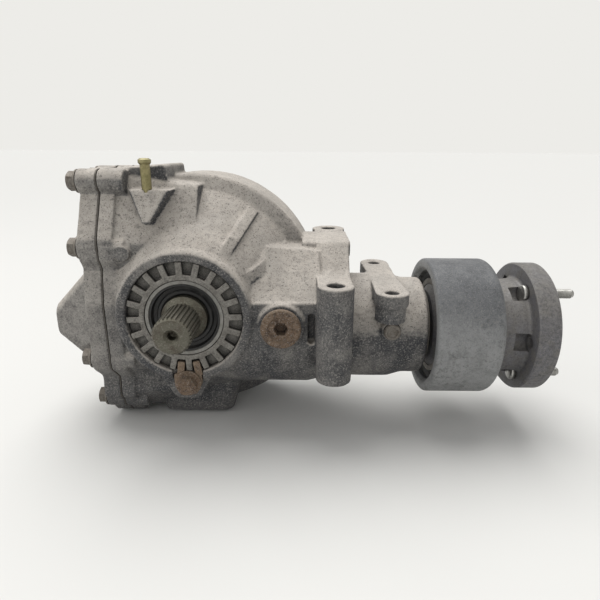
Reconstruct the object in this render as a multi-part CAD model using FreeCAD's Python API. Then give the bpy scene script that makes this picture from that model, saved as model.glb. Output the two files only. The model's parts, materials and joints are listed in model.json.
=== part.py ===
import FreeCAD, Part
import math
import os

# Final drive unit of a car's rear axle, in millimetres.
# It is drawn about the point where the output axis crosses the pinion plane: X runs along the
# pinion towards the input flange, Y along the output shafts away from the ring gear's teeth,
# Z up. Each piece is then set down with the origin at the centre of the input flange's face.
V = FreeCAD.Vector
ZERO = V(0, 0, 0)
X_AXIS = V(1, 0, 0)
Y_AXIS = V(0, 1, 0)
Z_AXIS = V(0, 0, 1)

# Layout
PINION_DROP = 22.0
FLANGE_FACE_X = 291.0
DIFF_CENTRE_Y = 14.0
RUNNING_GAP = 0.3
ROLLER_GAP = 0.08
FIT_GAP = 0.02

# Ring gear and drive pinion
RING_TEETH = 41
PINION_TEETH = 11
RING_R = 90.0
RING_TOOTH_INNER_R = 65.0
RING_BORE_R = 57.0
RING_BACK_Y = 44.0
MESH_R = 77.0
MESH_Y = 26.0
RING_FACE_ANGLE = 15.0
PINION_SMALL_END_X = 60.0
PINION_LARGE_END_X = 88.0
RING_ADDENDUM = 1.2
RING_DEDENDUM = 3.0
PINION_ADDENDUM = 2.2
PINION_DEDENDUM = 2.4
RING_TOOTH_SHARE = 0.36
PINION_TOOTH_SHARE = 0.42
FLANK_ANGLE = 20.0
TOOTH_SINK = 0.8

# Differential gears
SIDE_TEETH = 16
MATE_TEETH = 10
DIFF_MODULE = 3.5
DIFF_FACE = 10.0
DIFF_ADDENDUM = 0.72 * DIFF_MODULE
DIFF_DEDENDUM = 1.05 * DIFF_MODULE
DIFF_TOOTH_SHARE = 0.41
DIFF_FLANK_ANGLE = 24.0
SIDE_BACK = 26.0
SIDE_HUB_R = 25.0
MATE_BACK_R = 36.2
MATE_HUB_R = 17.0
CROSS_PIN_R = 8.5
CROSS_PIN_SINK = 0.5
LOCK_PIN_R = 2.5
WASHER_T = 1.0
CASE_SPHERE_R = 38.0
CASE_R = 50.0
CROSS_PIN_LENGTH = 2 * (CASE_R - CROSS_PIN_SINK)
CASE_FLANGE_R = 82.0
CASE_FLANGE_T = 10.0
CASE_BORE_R = 17.8
WINDOW_R = 23.0
RING_BOLTS = 10
RING_BOLT_CIRCLE_R = 70.0

# Tapered roller bearings
CUP_SHARE = 0.86
CONE_SHARE = 0.92

# Side bearings, adjusters and seals
SIDE_JOURNAL_R = 22.5
SIDE_CUP_R = 40.0
SIDE_BEARING_W = 20.0
SIDE_ROLLERS = 14
NEAR_BEARING_Y = -39.0
FAR_BEARING_Y = 58.0
ADJUSTER_R = 45.0
ADJUSTER_T = 12.4
ADJUSTER_COLLAR_R = 34.8
CASTELLATIONS = 20
CASTELLATION_W = 4.8
CASTELLATION_DEPTH = 4.5
CASTELLATION_TURN = 2.0
SEAL_R = 30.6
SEAL_RIM_R = 27.2
SEAL_T = 8.0
SEAL_RECESS = 1.0
LIP_GAP = 0.3

# Output shafts
SHAFT_R = 17.5
SHAFT_STUB = 37.0
SPLINE_R = 14.0
SPLINE_ROOT_R = 13.0
SPLINE_TEETH = 28
SPLINE_RELIEF_R = 12.4
SHAFT_END_Z = 11.2
SNAP_RING_Z = 12.45
SNAP_RING_W = 1.8
SNAP_RING_R = 15.8
SNAP_GROOVE_R = 13.0

# Pinion bearings, shaft and flange
HEAD_JOURNAL_R = 17.5
HEAD_CUP_R = 39.0
HEAD_BEARING_X = 93.0
HEAD_BEARING_W = 22.0
HEAD_ROLLERS = 15
TAIL_JOURNAL_R = 15.0
TAIL_CUP_R = 32.5
TAIL_BEARING_X = 160.0
TAIL_BEARING_W = 18.0
TAIL_ROLLERS = 14
SHIM_T = 2.0
PINION_SPLINE_R = 13.5
PINION_THREAD_R = 10.0
FLANGE_R = 54.8
FLANGE_T = 17.5
FLANGE_NECK_R = 19.5
FLANGE_HUB_R = 36.0
FLANGE_HUB_START_X = 200.0
FLANGE_HUB_END_X = 250.0
FLANGE_RECESS_R = 26.0
FLANGE_RECESS_DEPTH = 37.0
FLANGE_PCD = 81.0
FLANGE_HOLE_R = 4.5
STUD_R = 4.0
STUD_SHANK_R = 5.2
STUD_SHANK_PROUD = 0.3
STUD_HEAD_T = 4.0
STUD_POINT_R = 2.8
STUD_POINT_L = 1.5
STUD_HEAD_R = 7.0
STUD_LENGTH = 20.5
NUT_ACROSS = 30.0
NUT_T = 14.0
NUT_WASHER_T = 3.0
PINION_SEAL_R = 35.0
PINION_SEAL_T = 9.0

# Torsional damper on the flange's hub
DAMPER_X = 195.0
DAMPER_W = 53.3
DAMPER_R = 58.0
DAMPER_RING_INNER_R = 47.5
DAMPER_SLEEVE_R = 40.5
DAMPER_RUBBER_W = 38.0

# Housing casting
WALL = 7.0
RING_GEAR_CLEARANCE = 8.0
DRUM_R = RING_R + RING_GEAR_CLEARANCE + WALL
DRUM_NEAR_Y = 15.0
DRUM_FAR_Y = 71.0
BOSS_R = 53.3
BOSS_PROUD = 1.1
JOINT_X = -65.0
HOUSING_FLANGE_T = 12.0
COVER_FLANGE_T = 14.4
GASKET_T = 0.6
JOINT_MID_Y = 20.0
COVER_BOLT_R = 4.0
COVER_BOSS_R = 9.5
NOSE_R = 45.0
NOSE_END_R = 41.5
NOSE_END_X = 192.0
ROOT_R = 50.0
POCKET_X = 52.0
NOSE_INNER_R = 28.5

# Mounts on the housing
MOUNT_X = 115.2
MOUNT_Y = 60.0
MOUNT_HOLE_R = 6.75
MOUNT_COLUMN_R = 13.8
MOUNT_COLUMN_TOP_Z = 30.3
MOUNT_COLUMN_BOTTOM_Z = -46.0
MOUNT_BRIDGE_Z = 52.0
EAR_X = 158.8
EAR_Y = 48.5
EAR_TOP_Z = 22.5
EAR_T = 11.0
EAR_R = 13.0
EAR_BOSS_BOTTOM_Z = -1.5
EAR_HOLE_R = 5.25

# Plugs, breather and lock plates
FILL_X = 74.5
FILL_Z = -6.0
FILL_FACE_Y = -52.5
PLUG_R = 15.5
PLUG_THREAD_R = 12.0
PLUG_HEAD_T = 4.0
PLUG_HEX_ACROSS = 10.0
PLUG_WASHER_T = 1.5
DRAIN_PAD_Z = -106.0
BREATHER_X = -28.0
BREATHER_Y = -24.0
BREATHER_SEAT_Z = 94.7
BREATHER_R = 3.75
BREATHER_PRESS_R = 3.2
LOCK_BOLT_Z = -54.0
LOCK_PLATE_T = 3.0
LOCK_FINGER_W = 5.4

FULL_TURN = 360.0


# Helpers
def sin(degrees):
    return math.sin(math.radians(degrees))


def cos(degrees):
    return math.cos(math.radians(degrees))


def tan(degrees):
    return math.tan(math.radians(degrees))


def rod(radius, base, axis, length):
    """Solid round bar from base along axis."""
    return Part.makeCylinder(radius, length, base, axis)


def tube(outer, inner, base, axis, length):
    """Round sleeve from base along axis."""
    return rod(outer, base, axis, length).cut(rod(inner, base, axis, length))


def rounded_wire(corners, radii):
    """Closed wire through the corners: a positive radius rounds one, a negative one chamfers it."""
    if not isinstance(radii, (list, tuple)):
        radii = [radii] * len(corners)
    bends = []
    for index, corner in enumerate(corners):
        radius = radii[index]
        if not radius:
            bends.append((corner, corner, corner))
            continue
        before = (corners[index - 1] - corner).normalize()
        after = (corners[(index + 1) % len(corners)] - corner).normalize()
        half = before.getAngle(after) / 2
        reach = radius / math.tan(half) if radius > 0 else -radius
        inward = (before + after).normalize()
        middle = corner + inward * (radius / math.sin(half) - radius)
        bends.append((corner + before * reach, middle, corner + after * reach))
    edges = []
    for index, (start, middle, end) in enumerate(bends):
        if radii[index] > 0:
            edges.append(Part.Arc(start, middle, end).toShape())
        elif radii[index] < 0:
            edges.append(Part.LineSegment(start, end).toShape())
        following = bends[(index + 1) % len(bends)][0]
        if end.distanceToPoint(following) > 1e-4:
            edges.append(Part.LineSegment(end, following).toShape())
    return Part.Wire(Part.__sortEdges__(edges))


def prism(corners, radii, travel):
    """Straight solid of a rounded outline."""
    return Part.Face(rounded_wire(corners, radii)).extrude(travel)


def at_x(x, outline):
    """Corners of a (y, z) outline in the plane at x."""
    return [V(x, y, z) for y, z in outline]


def at_y(y, outline):
    """Corners of an (x, z) outline in the plane at y."""
    return [V(x, y, z) for x, z in outline]


def at_z(z, outline):
    """Corners of an (x, y) outline in the plane at z."""
    return [V(x, y, z) for x, y in outline]


def turned(profile, base, axis, radii=0):
    """Solid of revolution of a (radius, along) profile about axis through base."""
    radial = Z_AXIS if abs(axis.z) < 0.5 else X_AXIS
    corners = [base + radial * radius + axis * along for radius, along in profile]
    solid = Part.Face(rounded_wire(corners, radii)).revolve(base, axis, FULL_TURN)
    return Part.Solid(solid.Shells[0]) if solid.Volume > 0 else Part.Solid(solid.Shells[0]).reversed()


def about(shape, base, axis, angle):
    """Copy of a shape turned about an axis."""
    copy = shape.copy()
    copy.rotate(base, axis, angle)
    return copy


def around(shape, base, axis, count, start=0.0):
    """Copies of a shape in equal steps round an axis."""
    return [about(shape, base, axis, start + FULL_TURN * step / count) for step in range(count)]


def moved(shape, travel):
    """Copy of a shape shifted by a vector."""
    copy = shape.copy()
    copy.translate(travel)
    return copy


def aimed(shape, base, direction):
    """Copy of a shape drawn up the Z axis, set at base and pointing along direction."""
    copy = shape.copy()
    copy.Placement = FreeCAD.Placement(base, FreeCAD.Rotation(Z_AXIS, direction)).multiply(copy.Placement)
    return copy


def joined(shapes):
    """One solid of several that overlap."""
    return shapes[0].multiFuse(shapes[1:]).removeSplitter()


def hexagon(across, height):
    """Hexagonal bar up the Z axis."""
    corner_r = across / 2 / cos(30)
    corners = [V(corner_r * cos(60 * step), corner_r * sin(60 * step), 0) for step in range(6)]
    return prism(corners, 0, Z_AXIS * height)


def chamfered_hexagon(across, height, ease):
    """Hexagonal head with its upper corners turned down."""
    corner_r = across / 2 / cos(30)
    cone = turned([(0, 0), (corner_r, 0), (corner_r, height - ease), (corner_r - 2 * ease, height),
                   (0, height)],
                  ZERO, Z_AXIS)
    return hexagon(across, height).common(cone)


def flange_bolt(shank_r, shank_length, across, head_h, collar_r, collar_t):
    """Bolt with a collared hexagonal head: the seat is at Z = 0 and the head above it."""
    head = chamfered_hexagon(across, head_h, 0.8)
    dish = turned([(0, head_h + 1), (0, head_h - 0.8), (across * 0.3, head_h), (across * 0.3, head_h + 1)],
                  ZERO, Z_AXIS)
    collar = turned([(0, 0), (collar_r, 0), (collar_r, collar_t * 0.6), (across * 0.52, collar_t + 0.8),
                     (0, collar_t + 0.8)],
                    ZERO, Z_AXIS)
    shank = rod(shank_r, V(0, 0, -shank_length), Z_AXIS, shank_length + 0.5)
    return joined([head.cut(dish), collar, shank])


def splined_bar(tip_r, root_r, teeth, length, ease):
    """Splined bar up the Z axis with a chamfered far end."""
    corners = []
    pitch = FULL_TURN / teeth
    for tooth in range(teeth):
        for radius, share in ((root_r, -0.38), (tip_r, -0.2), (tip_r, 0.2), (root_r, 0.38)):
            angle = pitch * (tooth + share)
            corners.append(V(radius * cos(angle), radius * sin(angle), 0))
    bar = prism(corners, 0, Z_AXIS * length)
    if ease == 0:
        return bar
    envelope = turned([(0, -1), (tip_r + 1, -1), (tip_r + 1, length - ease - 1), (tip_r - ease, length),
                       (0, length)],
                      ZERO, Z_AXIS)
    return bar.common(envelope)


# Tapered roller bearings
def bearing_section(bore_r, cup_r, width):
    """Roller axis, tilt and size of a bearing whose rollers open towards +Z."""
    tilt = 14.0
    taper = 1.8
    roller_r = (cup_r - bore_r) * 0.2
    middle_r = (cup_r + bore_r) / 2 + 0.4
    length = width * 0.66
    return tilt, taper, roller_r, middle_r, length


def race_radius(middle_r, width, tilt, offset, height):
    """Radius of a raceway line at a height above the bearing's back."""
    return middle_r + offset / cos(tilt) + (height - width / 2) * tan(tilt)


def bearing_cup(bore_r, cup_r, width):
    """Outer race up the Z axis, its back at Z = 0."""
    tilt, taper, roller_r, middle_r, length = bearing_section(bore_r, cup_r, width)
    front = width * CUP_SHARE
    race = [race_radius(middle_r, width, tilt + taper, roller_r + RUNNING_GAP, height)
            for height in (0, front)]
    return turned([(cup_r, 0), (race[0], 0), (race[1], front), (cup_r, front)], ZERO, Z_AXIS,
                  [-0.8, 0, 0, -0.8])


def bearing_cone(bore_r, cup_r, width):
    """Inner race with its two ribs up the Z axis, its back at Z = width."""
    tilt, taper, roller_r, middle_r, length = bearing_section(bore_r, cup_r, width)
    front = width * (1 - CONE_SHARE)
    low = (width - length) / 2 - 0.6
    high = (width + length) / 2 + 0.6
    race = [race_radius(middle_r, width, tilt - taper, -roller_r - ROLLER_GAP,
                        height) for height in (low, high)]
    rib = 1.2
    return turned([(bore_r + FIT_GAP, front), (race[0] + rib, front), (race[0] + rib, low), (race[0], low),
                   (race[1], high), (race[1] + rib * 1.8, high), (race[1] + rib * 1.8, width),
                   (bore_r + FIT_GAP, width)],
                  ZERO, Z_AXIS)


def bearing_rollers(bore_r, cup_r, width, count, spare=0.0):
    """Tapered rollers round the Z axis, or their pockets when spare is given."""
    tilt, taper, roller_r, middle_r, length = bearing_section(bore_r, cup_r, width)
    half = length / 2 + spare
    small_r = roller_r - half * tan(taper) + spare - FIT_GAP
    large_r = roller_r + half * tan(taper) + spare - FIT_GAP
    roller = Part.makeCone(small_r, large_r, 2 * half, V(0, 0, -half), Z_AXIS)
    roller.rotate(ZERO, Y_AXIS, tilt)
    roller.translate(V(middle_r, 0, width / 2))
    return around(roller, ZERO, Z_AXIS, count)


def bearing_cage(bore_r, cup_r, width, count):
    """Pressed cage between the rollers."""
    tilt, taper, roller_r, middle_r, length = bearing_section(bore_r, cup_r, width)
    low = (width - length) / 2 - 1.6
    high = (width + length) / 2 + 1.6
    inner = [race_radius(middle_r, width, tilt, 0.4, height) for height in (low, high)]
    sheet = 1.2
    cage = turned([(inner[0], low), (inner[0] + sheet, low), (inner[1] + sheet, high), (inner[1], high)],
                  ZERO, Z_AXIS)
    return cage.cut(Part.makeCompound(bearing_rollers(bore_r, cup_r, width, count, 0.2)))


def side_bearing(make, far, *extra):
    """A side bearing's piece: its rollers open towards the cross pin."""
    base = V(0, FAR_BEARING_Y + SIDE_BEARING_W, 0) if far else V(0, NEAR_BEARING_Y, 0)
    made = make(SIDE_JOURNAL_R, SIDE_CUP_R, SIDE_BEARING_W, *extra)
    pieces = made if isinstance(made, list) else [made]
    return [aimed(piece, base, -Y_AXIS if far else Y_AXIS) for piece in pieces]


def pinion_bearing(make, tail, *extra):
    """A pinion bearing's piece: the head bearing opens towards the teeth, the tail one away."""
    if tail:
        base, direction = V(TAIL_BEARING_X, 0, -PINION_DROP), X_AXIS
        sizes = (TAIL_JOURNAL_R, TAIL_CUP_R, TAIL_BEARING_W)
    else:
        base, direction = V(HEAD_BEARING_X + HEAD_BEARING_W, 0, -PINION_DROP), -X_AXIS
        sizes = (HEAD_JOURNAL_R, HEAD_CUP_R, HEAD_BEARING_W)
    made = make(*sizes, *extra)
    pieces = made if isinstance(made, list) else [made]
    return [aimed(piece, base, direction) for piece in pieces]


# Hypoid gear pair
GEAR_SHARE = PINION_TEETH / RING_TEETH
MESH_X = math.sqrt(MESH_R ** 2 - PINION_DROP ** 2)
PINION_BASE = V(0, 0, -PINION_DROP)


def ring_pitch_y(radius):
    """Height of the ring gear's pitch cone at a radius."""
    return MESH_Y + (radius - MESH_R) * tan(RING_FACE_ANGLE)


def pinion_pitch_r(x):
    """Pinion pitch radius that meets the ring's pitch cone beside the pinion axis."""
    return ring_pitch_y(math.hypot(x, PINION_DROP))


def tooth_direction(x):
    """Direction in which the teeth slide on each other at x, where both tooth lines run."""
    return V(-PINION_DROP * GEAR_SHARE, 0, pinion_pitch_r(x) - GEAR_SHARE * x).normalize()


def pinion_tooth_angle(x):
    """Turn of the pinion's tooth line at x, from the mesh point, in degrees."""
    steps = 24
    angle = 0.0
    for step in range(steps):
        here = MESH_X + (x - MESH_X) * (step + 0.5) / steps
        slide = tooth_direction(here)
        angle += slide.z / slide.x / pinion_pitch_r(here) * (x - MESH_X) / steps
    return math.degrees(angle)


def ring_tooth_angle(radius):
    """Turn of the ring's tooth line at a radius, from the mesh point, in degrees."""
    steps = 24
    angle = 0.0
    for step in range(steps):
        here = MESH_R + (radius - MESH_R) * (step + 0.5) / steps
        x = math.sqrt(here ** 2 - PINION_DROP ** 2)
        slide = tooth_direction(x)
        outward = V(x, 0, -PINION_DROP).normalize()
        sideways = V(PINION_DROP, 0, x).normalize()
        angle += slide.dot(sideways) / slide.dot(outward) / here * (radius - MESH_R) / steps
    return math.degrees(angle)


def tooth_section(centre, up, across, pitch_width, addendum, dedendum):
    """Trapezoid of one tooth, its root sunk a little into the blank."""
    slope = tan(FLANK_ANGLE)
    corners = []
    for height, side in ((addendum, -1), (addendum, 1), (-dedendum - TOOTH_SINK, 1),
                         (-dedendum - TOOTH_SINK, -1)):
        half = pitch_width / 2 - height * slope
        corners.append(centre + up * height + across * (side * half))
    return Part.makePolygon(corners + corners[:1])


def ring_tooth(turn):
    """One tooth of the ring gear."""
    sections = []
    for radius in (RING_TOOTH_INNER_R, MESH_R, RING_R):
        angle = ring_tooth_angle(radius) + turn
        outward = V(cos(angle), 0, sin(angle))
        sideways = V(-sin(angle), 0, cos(angle))
        width = 2 * math.pi * radius / RING_TEETH * RING_TOOTH_SHARE
        centre = outward * radius + Y_AXIS * ring_pitch_y(radius)
        sections.append(tooth_section(centre, -Y_AXIS, sideways, width, RING_ADDENDUM, RING_DEDENDUM))
    return Part.makeLoft(sections, True, True)


def ring_gear():
    """Ring gear with its bolt holes, a tooth space on the pinion's side."""
    root = [ring_pitch_y(radius) + RING_DEDENDUM for radius in (RING_TOOTH_INNER_R - 3, RING_R)]
    blank = turned([(RING_BORE_R + FIT_GAP, RING_BACK_Y), (RING_BORE_R + FIT_GAP, root[0] + 1.5),
                    (RING_TOOTH_INNER_R - 3, root[0]), (RING_R, root[1]), (RING_R, RING_BACK_Y)],
                   ZERO, Y_AXIS, [0, 0, 0, 0, -1.5])
    mesh_angle = -math.degrees(math.asin(PINION_DROP / MESH_R))
    pitch = FULL_TURN / RING_TEETH
    teeth = [ring_tooth(mesh_angle + pitch * (tooth + 0.5)) for tooth in range(RING_TEETH)]
    gear = blank.multiFuse(teeth)
    hole = rod(5.0, V(RING_BOLT_CIRCLE_R, RING_BACK_Y - 9.0, 0), Y_AXIS, 10.0)
    return gear.cut(Part.makeCompound(around(hole, ZERO, Y_AXIS, RING_BOLTS)))


def pinion_tooth():
    """The pinion tooth that lies in the ring's tooth space."""
    sections = []
    for step in range(5):
        x = PINION_SMALL_END_X + (PINION_LARGE_END_X - PINION_SMALL_END_X) * step / 4
        angle = pinion_tooth_angle(x)
        outward = V(0, cos(angle), sin(angle))
        sideways = V(0, -sin(angle), cos(angle))
        radius = pinion_pitch_r(x)
        width = 2 * math.pi * radius / PINION_TEETH * PINION_TOOTH_SHARE
        centre = V(x, 0, -PINION_DROP) + outward * radius
        sections.append(tooth_section(centre, outward, sideways, width, PINION_ADDENDUM, PINION_DEDENDUM))
    return Part.makeLoft(sections, True, True)


def drive_pinion():
    """Pinion head, its stepped shaft, spline and thread."""
    head = [(0, PINION_SMALL_END_X), (pinion_pitch_r(PINION_SMALL_END_X) - PINION_DEDENDUM,
                                      PINION_SMALL_END_X),
            (pinion_pitch_r(PINION_LARGE_END_X) - PINION_DEDENDUM, PINION_LARGE_END_X)]
    shim_x = HEAD_BEARING_X - SHIM_T
    spacer_x = HEAD_BEARING_X + HEAD_BEARING_W
    flange_x = TAIL_BEARING_X + TAIL_BEARING_W
    recess_x = FLANGE_FACE_X - FLANGE_RECESS_DEPTH
    shaft = [(27.0, shim_x), (HEAD_JOURNAL_R, shim_x), (HEAD_JOURNAL_R, spacer_x + 2.0),
             (TAIL_JOURNAL_R, spacer_x + 6.0), (TAIL_JOURNAL_R, flange_x),
             (PINION_SPLINE_R - 1.0, flange_x), (PINION_SPLINE_R - 1.0, recess_x - 3.0),
             (PINION_THREAD_R, recess_x - 1.0), (PINION_THREAD_R, recess_x + NUT_WASHER_T + NUT_T + 5.0),
             (0, recess_x + NUT_WASHER_T + NUT_T + 5.0)]
    body = turned(head + shaft, PINION_BASE, X_AXIS)
    teeth = around(pinion_tooth(), PINION_BASE, X_AXIS, PINION_TEETH)
    spline = splined_bar(PINION_SPLINE_R, PINION_SPLINE_R - 1.0, 22, recess_x - 8.0 - flange_x - 8.0, 0)
    centre_hole = turned([(0, 0), (3.4, 0), (1.2, -3.8), (1.2, -7.0), (0, -7.0)],
                         V(recess_x + NUT_WASHER_T + NUT_T + 5.0, 0, -PINION_DROP), X_AXIS)
    pieces = [body, aimed(spline, V(flange_x + 8.0, 0, -PINION_DROP), X_AXIS)] + teeth
    return pieces[0].multiFuse(pieces[1:]).cut(centre_hole)


# Bevel gears of the differential
def bevel_gear(teeth, mate_teeth, bore_r, back):
    """Straight bevel gear up the Z axis with its apex at the origin."""
    pitch_r = DIFF_MODULE * teeth / 2
    mate_r = DIFF_MODULE * mate_teeth / 2
    cone = math.degrees(math.atan2(pitch_r, mate_r))
    reach = math.hypot(pitch_r, mate_r)
    along = V(sin(cone), 0, cos(cone))
    outward = V(cos(cone), 0, -sin(cone))
    shrink = (reach - DIFF_FACE) / reach
    root = along * reach - outward * DIFF_DEDENDUM
    inner = root * (shrink - 0.03)
    blank = turned([(bore_r, inner.z + 1.5), (inner.x - 0.5, inner.z + 0.3), (inner.x, inner.z),
                    (root.x, root.z)]
                   + back + [(bore_r, back[-1][1])], ZERO, Z_AXIS)
    half_pitch = math.pi * DIFF_MODULE * DIFF_TOOTH_SHARE / 2
    slope = tan(DIFF_FLANK_ANGLE)
    outer = []
    for height, side in ((DIFF_ADDENDUM, -1), (DIFF_ADDENDUM, 1), (-DIFF_DEDENDUM - TOOTH_SINK, 1),
                         (-DIFF_DEDENDUM - TOOTH_SINK, -1)):
        outer.append(along * reach + outward * height + Y_AXIS * (side * (half_pitch - height * slope)))
    small = [corner * shrink for corner in outer]
    tooth = Part.makeLoft([Part.makePolygon(outer + outer[:1]), Part.makePolygon(small + small[:1])], True,
                          True)
    return blank.multiFuse(around(tooth, ZERO, Z_AXIS, teeth))


def side_gear(far):
    """Side gear on its output shaft's inner end."""
    back = [(SIDE_HUB_R, SIDE_BACK - 3.0), (SIDE_HUB_R, SIDE_BACK)]
    gear = bevel_gear(SIDE_TEETH, MATE_TEETH, SPLINE_R + FIT_GAP, back)
    return aimed(gear, V(0, DIFF_CENTRE_Y, 0), Y_AXIS if far else -Y_AXIS)


def pinion_mate(opposite):
    """Pinion mate on the cross pin, with a spherical back."""
    back = []
    for step in range(4):
        angle = math.degrees(math.asin(MATE_HUB_R / MATE_BACK_R)) * (3 - step) / 3 + 16.5 * step / 3
        back.append((MATE_BACK_R * sin(angle), MATE_BACK_R * cos(angle)))
    gear = bevel_gear(MATE_TEETH, SIDE_TEETH, CROSS_PIN_R + 0.05, back)
    return aimed(gear, V(0, DIFF_CENTRE_Y, 0), -X_AXIS if opposite else X_AXIS)


def cross_pin():
    """Cross pin with its lock hole and eased ends."""
    half = CROSS_PIN_LENGTH / 2
    pin = turned([(0, -half), (CROSS_PIN_R, -half), (CROSS_PIN_R, half), (0, half)],
                 V(0, DIFF_CENTRE_Y, 0), X_AXIS, [0, -1.0, -1.0, 0])
    return pin.cut(rod(LOCK_PIN_R, V(lock_pin_x(), 0, 0), Y_AXIS, 60.0))


def lock_pin_x():
    """Place of the pin that keeps the cross pin in the case."""
    return (CASE_SPHERE_R + CASE_R) / 2 + 0.5


def cross_pin_lock():
    """Roll pin through the case wall and the cross pin."""
    start = V(lock_pin_x(), DIFF_CENTRE_Y - 15.0, 0)
    return tube(LOCK_PIN_R - FIT_GAP, LOCK_PIN_R - 1.0, start, Y_AXIS, 30.0)


def side_thrust_washers():
    """Flat washers behind the side gears."""
    washers = []
    for sign in (-1, 1):
        base = V(0, DIFF_CENTRE_Y + sign * (SIDE_BACK + 0.15), 0)
        washers.append(tube(SIDE_HUB_R - 0.3, CASE_BORE_R + 0.4, base, Y_AXIS * sign, WASHER_T))
    return washers


def mate_thrust_washers():
    """Dished washers behind the pinion mates."""
    washers = []
    inner_r = MATE_BACK_R + 0.3
    outer_r = inner_r + WASHER_T
    shell = Part.makeSphere(outer_r).cut(Part.makeSphere(inner_r))
    dish = shell.common(rod(MATE_HUB_R - 1.0, ZERO, Z_AXIS, outer_r + 5.0))
    dish = dish.cut(rod(CROSS_PIN_R + 0.3, ZERO, Z_AXIS, outer_r + 5.0))
    for direction in (X_AXIS, -X_AXIS):
        washers.append(aimed(dish, V(0, DIFF_CENTRE_Y, 0), direction))
    return washers


def diff_case():
    """One-piece case: journals, windows, ring gear flange and the gears' seats."""
    near_end = NEAR_BEARING_Y
    far_end = FAR_BEARING_Y + SIDE_BEARING_W
    near_shoulder = NEAR_BEARING_Y + SIDE_BEARING_W
    flange_end = RING_BACK_Y + CASE_FLANGE_T
    outline = [(CASE_BORE_R, near_end), (SIDE_JOURNAL_R, near_end), (SIDE_JOURNAL_R, near_shoulder),
               (28.5, near_shoulder), (28.5, near_shoulder + 3.0), (CASE_R - 6.0, near_shoulder + 8.0),
               (CASE_R, near_shoulder + 16.0), (CASE_R, RING_BACK_Y - 16.0),
               (RING_BORE_R, RING_BACK_Y - 12.0),
               (RING_BORE_R, RING_BACK_Y), (CASE_FLANGE_R, RING_BACK_Y), (CASE_FLANGE_R, flange_end),
               (CASE_R + 6.0, flange_end), (34.0, FAR_BEARING_Y - 1.0), (28.5, FAR_BEARING_Y),
               (SIDE_JOURNAL_R, FAR_BEARING_Y), (SIDE_JOURNAL_R, far_end), (CASE_BORE_R, far_end)]
    case = turned(outline, ZERO, Y_AXIS)
    centre = V(0, DIFF_CENTRE_Y, 0)
    seat = SIDE_BACK + WASHER_T + 0.3
    slab = rod(CASE_SPHERE_R + 5.0, centre - Y_AXIS * seat, Y_AXIS, 2 * seat)
    hollow = Part.makeSphere(CASE_SPHERE_R, centre).common(slab)
    windows = rod(WINDOW_R, centre - Z_AXIS * 70.0, Z_AXIS, 140.0)
    pin_hole = rod(CROSS_PIN_R + FIT_GAP, centre - X_AXIS * 70.0, X_AXIS, 140.0)
    lock_hole = rod(LOCK_PIN_R, V(lock_pin_x(), DIFF_CENTRE_Y - 45.0, 0), Y_AXIS, 62.0)
    bolt_hole = rod(5.2, V(RING_BOLT_CIRCLE_R, RING_BACK_Y - 1.0, 0), Y_AXIS, CASE_FLANGE_T + 2.0)
    holes = around(bolt_hole, ZERO, Y_AXIS, RING_BOLTS)
    return case.cut(Part.makeCompound([hollow,
                                       windows])).cut(pin_hole).cut(lock_hole).cut(Part.makeCompound(holes))


def ring_gear_bolts():
    """Bolts that clamp the ring gear to the case flange."""
    bolt = flange_bolt(4.98, CASE_FLANGE_T + 8.0, 14.0, 6.0, 8.5, 1.2)
    bolt = aimed(bolt, V(RING_BOLT_CIRCLE_R, RING_BACK_Y + CASE_FLANGE_T, 0), Y_AXIS)
    return around(bolt, ZERO, Y_AXIS, RING_BOLTS)


# Output shafts
def adjuster_face(far):
    """Y of an adjuster's outer face."""
    if far:
        return FAR_BEARING_Y + SIDE_BEARING_W + ADJUSTER_T
    return NEAR_BEARING_Y - ADJUSTER_T


def output_shaft(far):
    """Stub shaft with a male spline outside and a short one in the side gear."""
    face = abs(adjuster_face(far) - DIFF_CENTRE_Y)
    tip = face + SHAFT_STUB
    gear_outer = SIDE_BACK + WASHER_T
    groove_end = SNAP_RING_Z + SNAP_RING_W + 0.05
    body_r = SHAFT_R - 0.4
    profile = [(0, SHAFT_END_Z), (SPLINE_R - 0.5, SHAFT_END_Z), (SPLINE_R - FIT_GAP, SHAFT_END_Z + 0.5),
               (SPLINE_R - FIT_GAP, SNAP_RING_Z - 0.05), (SNAP_GROOVE_R, SNAP_RING_Z - 0.05),
               (SNAP_GROOVE_R, groove_end), (SPLINE_R - FIT_GAP, groove_end),
               (SPLINE_R - FIT_GAP, gear_outer - 1.0),
               (SPLINE_R - 1.0, gear_outer - 1.0), (SPLINE_R - 1.0, gear_outer + 0.5),
               (body_r, gear_outer + 3.0), (body_r, face - SEAL_T - 4.0), (SHAFT_R, face - SEAL_T - 3.0),
               (SHAFT_R, face - 0.5), (SPLINE_R, face + 3.0), (SPLINE_RELIEF_R, face + 4.5),
               (SPLINE_RELIEF_R, tip - 2.0), (SPLINE_RELIEF_R - 1.0, tip), (0, tip)]
    body = turned(profile, ZERO, Z_AXIS)
    spline = splined_bar(SPLINE_R, SPLINE_ROOT_R, SPLINE_TEETH, SHAFT_STUB - 4.5, 1.6)
    outer = moved(spline, V(0, 0, face + 4.5))
    countersink = turned([(0, tip + 0.1), (5.6, tip + 0.1), (3.2, tip - 2.4), (3.2, tip - 9.0),
                          (0, tip - 11.0)],
                         ZERO, Z_AXIS)
    shaft = joined([body, outer]).cut(countersink)
    return aimed(shaft, V(0, DIFF_CENTRE_Y, 0), Y_AXIS if far else -Y_AXIS)


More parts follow.
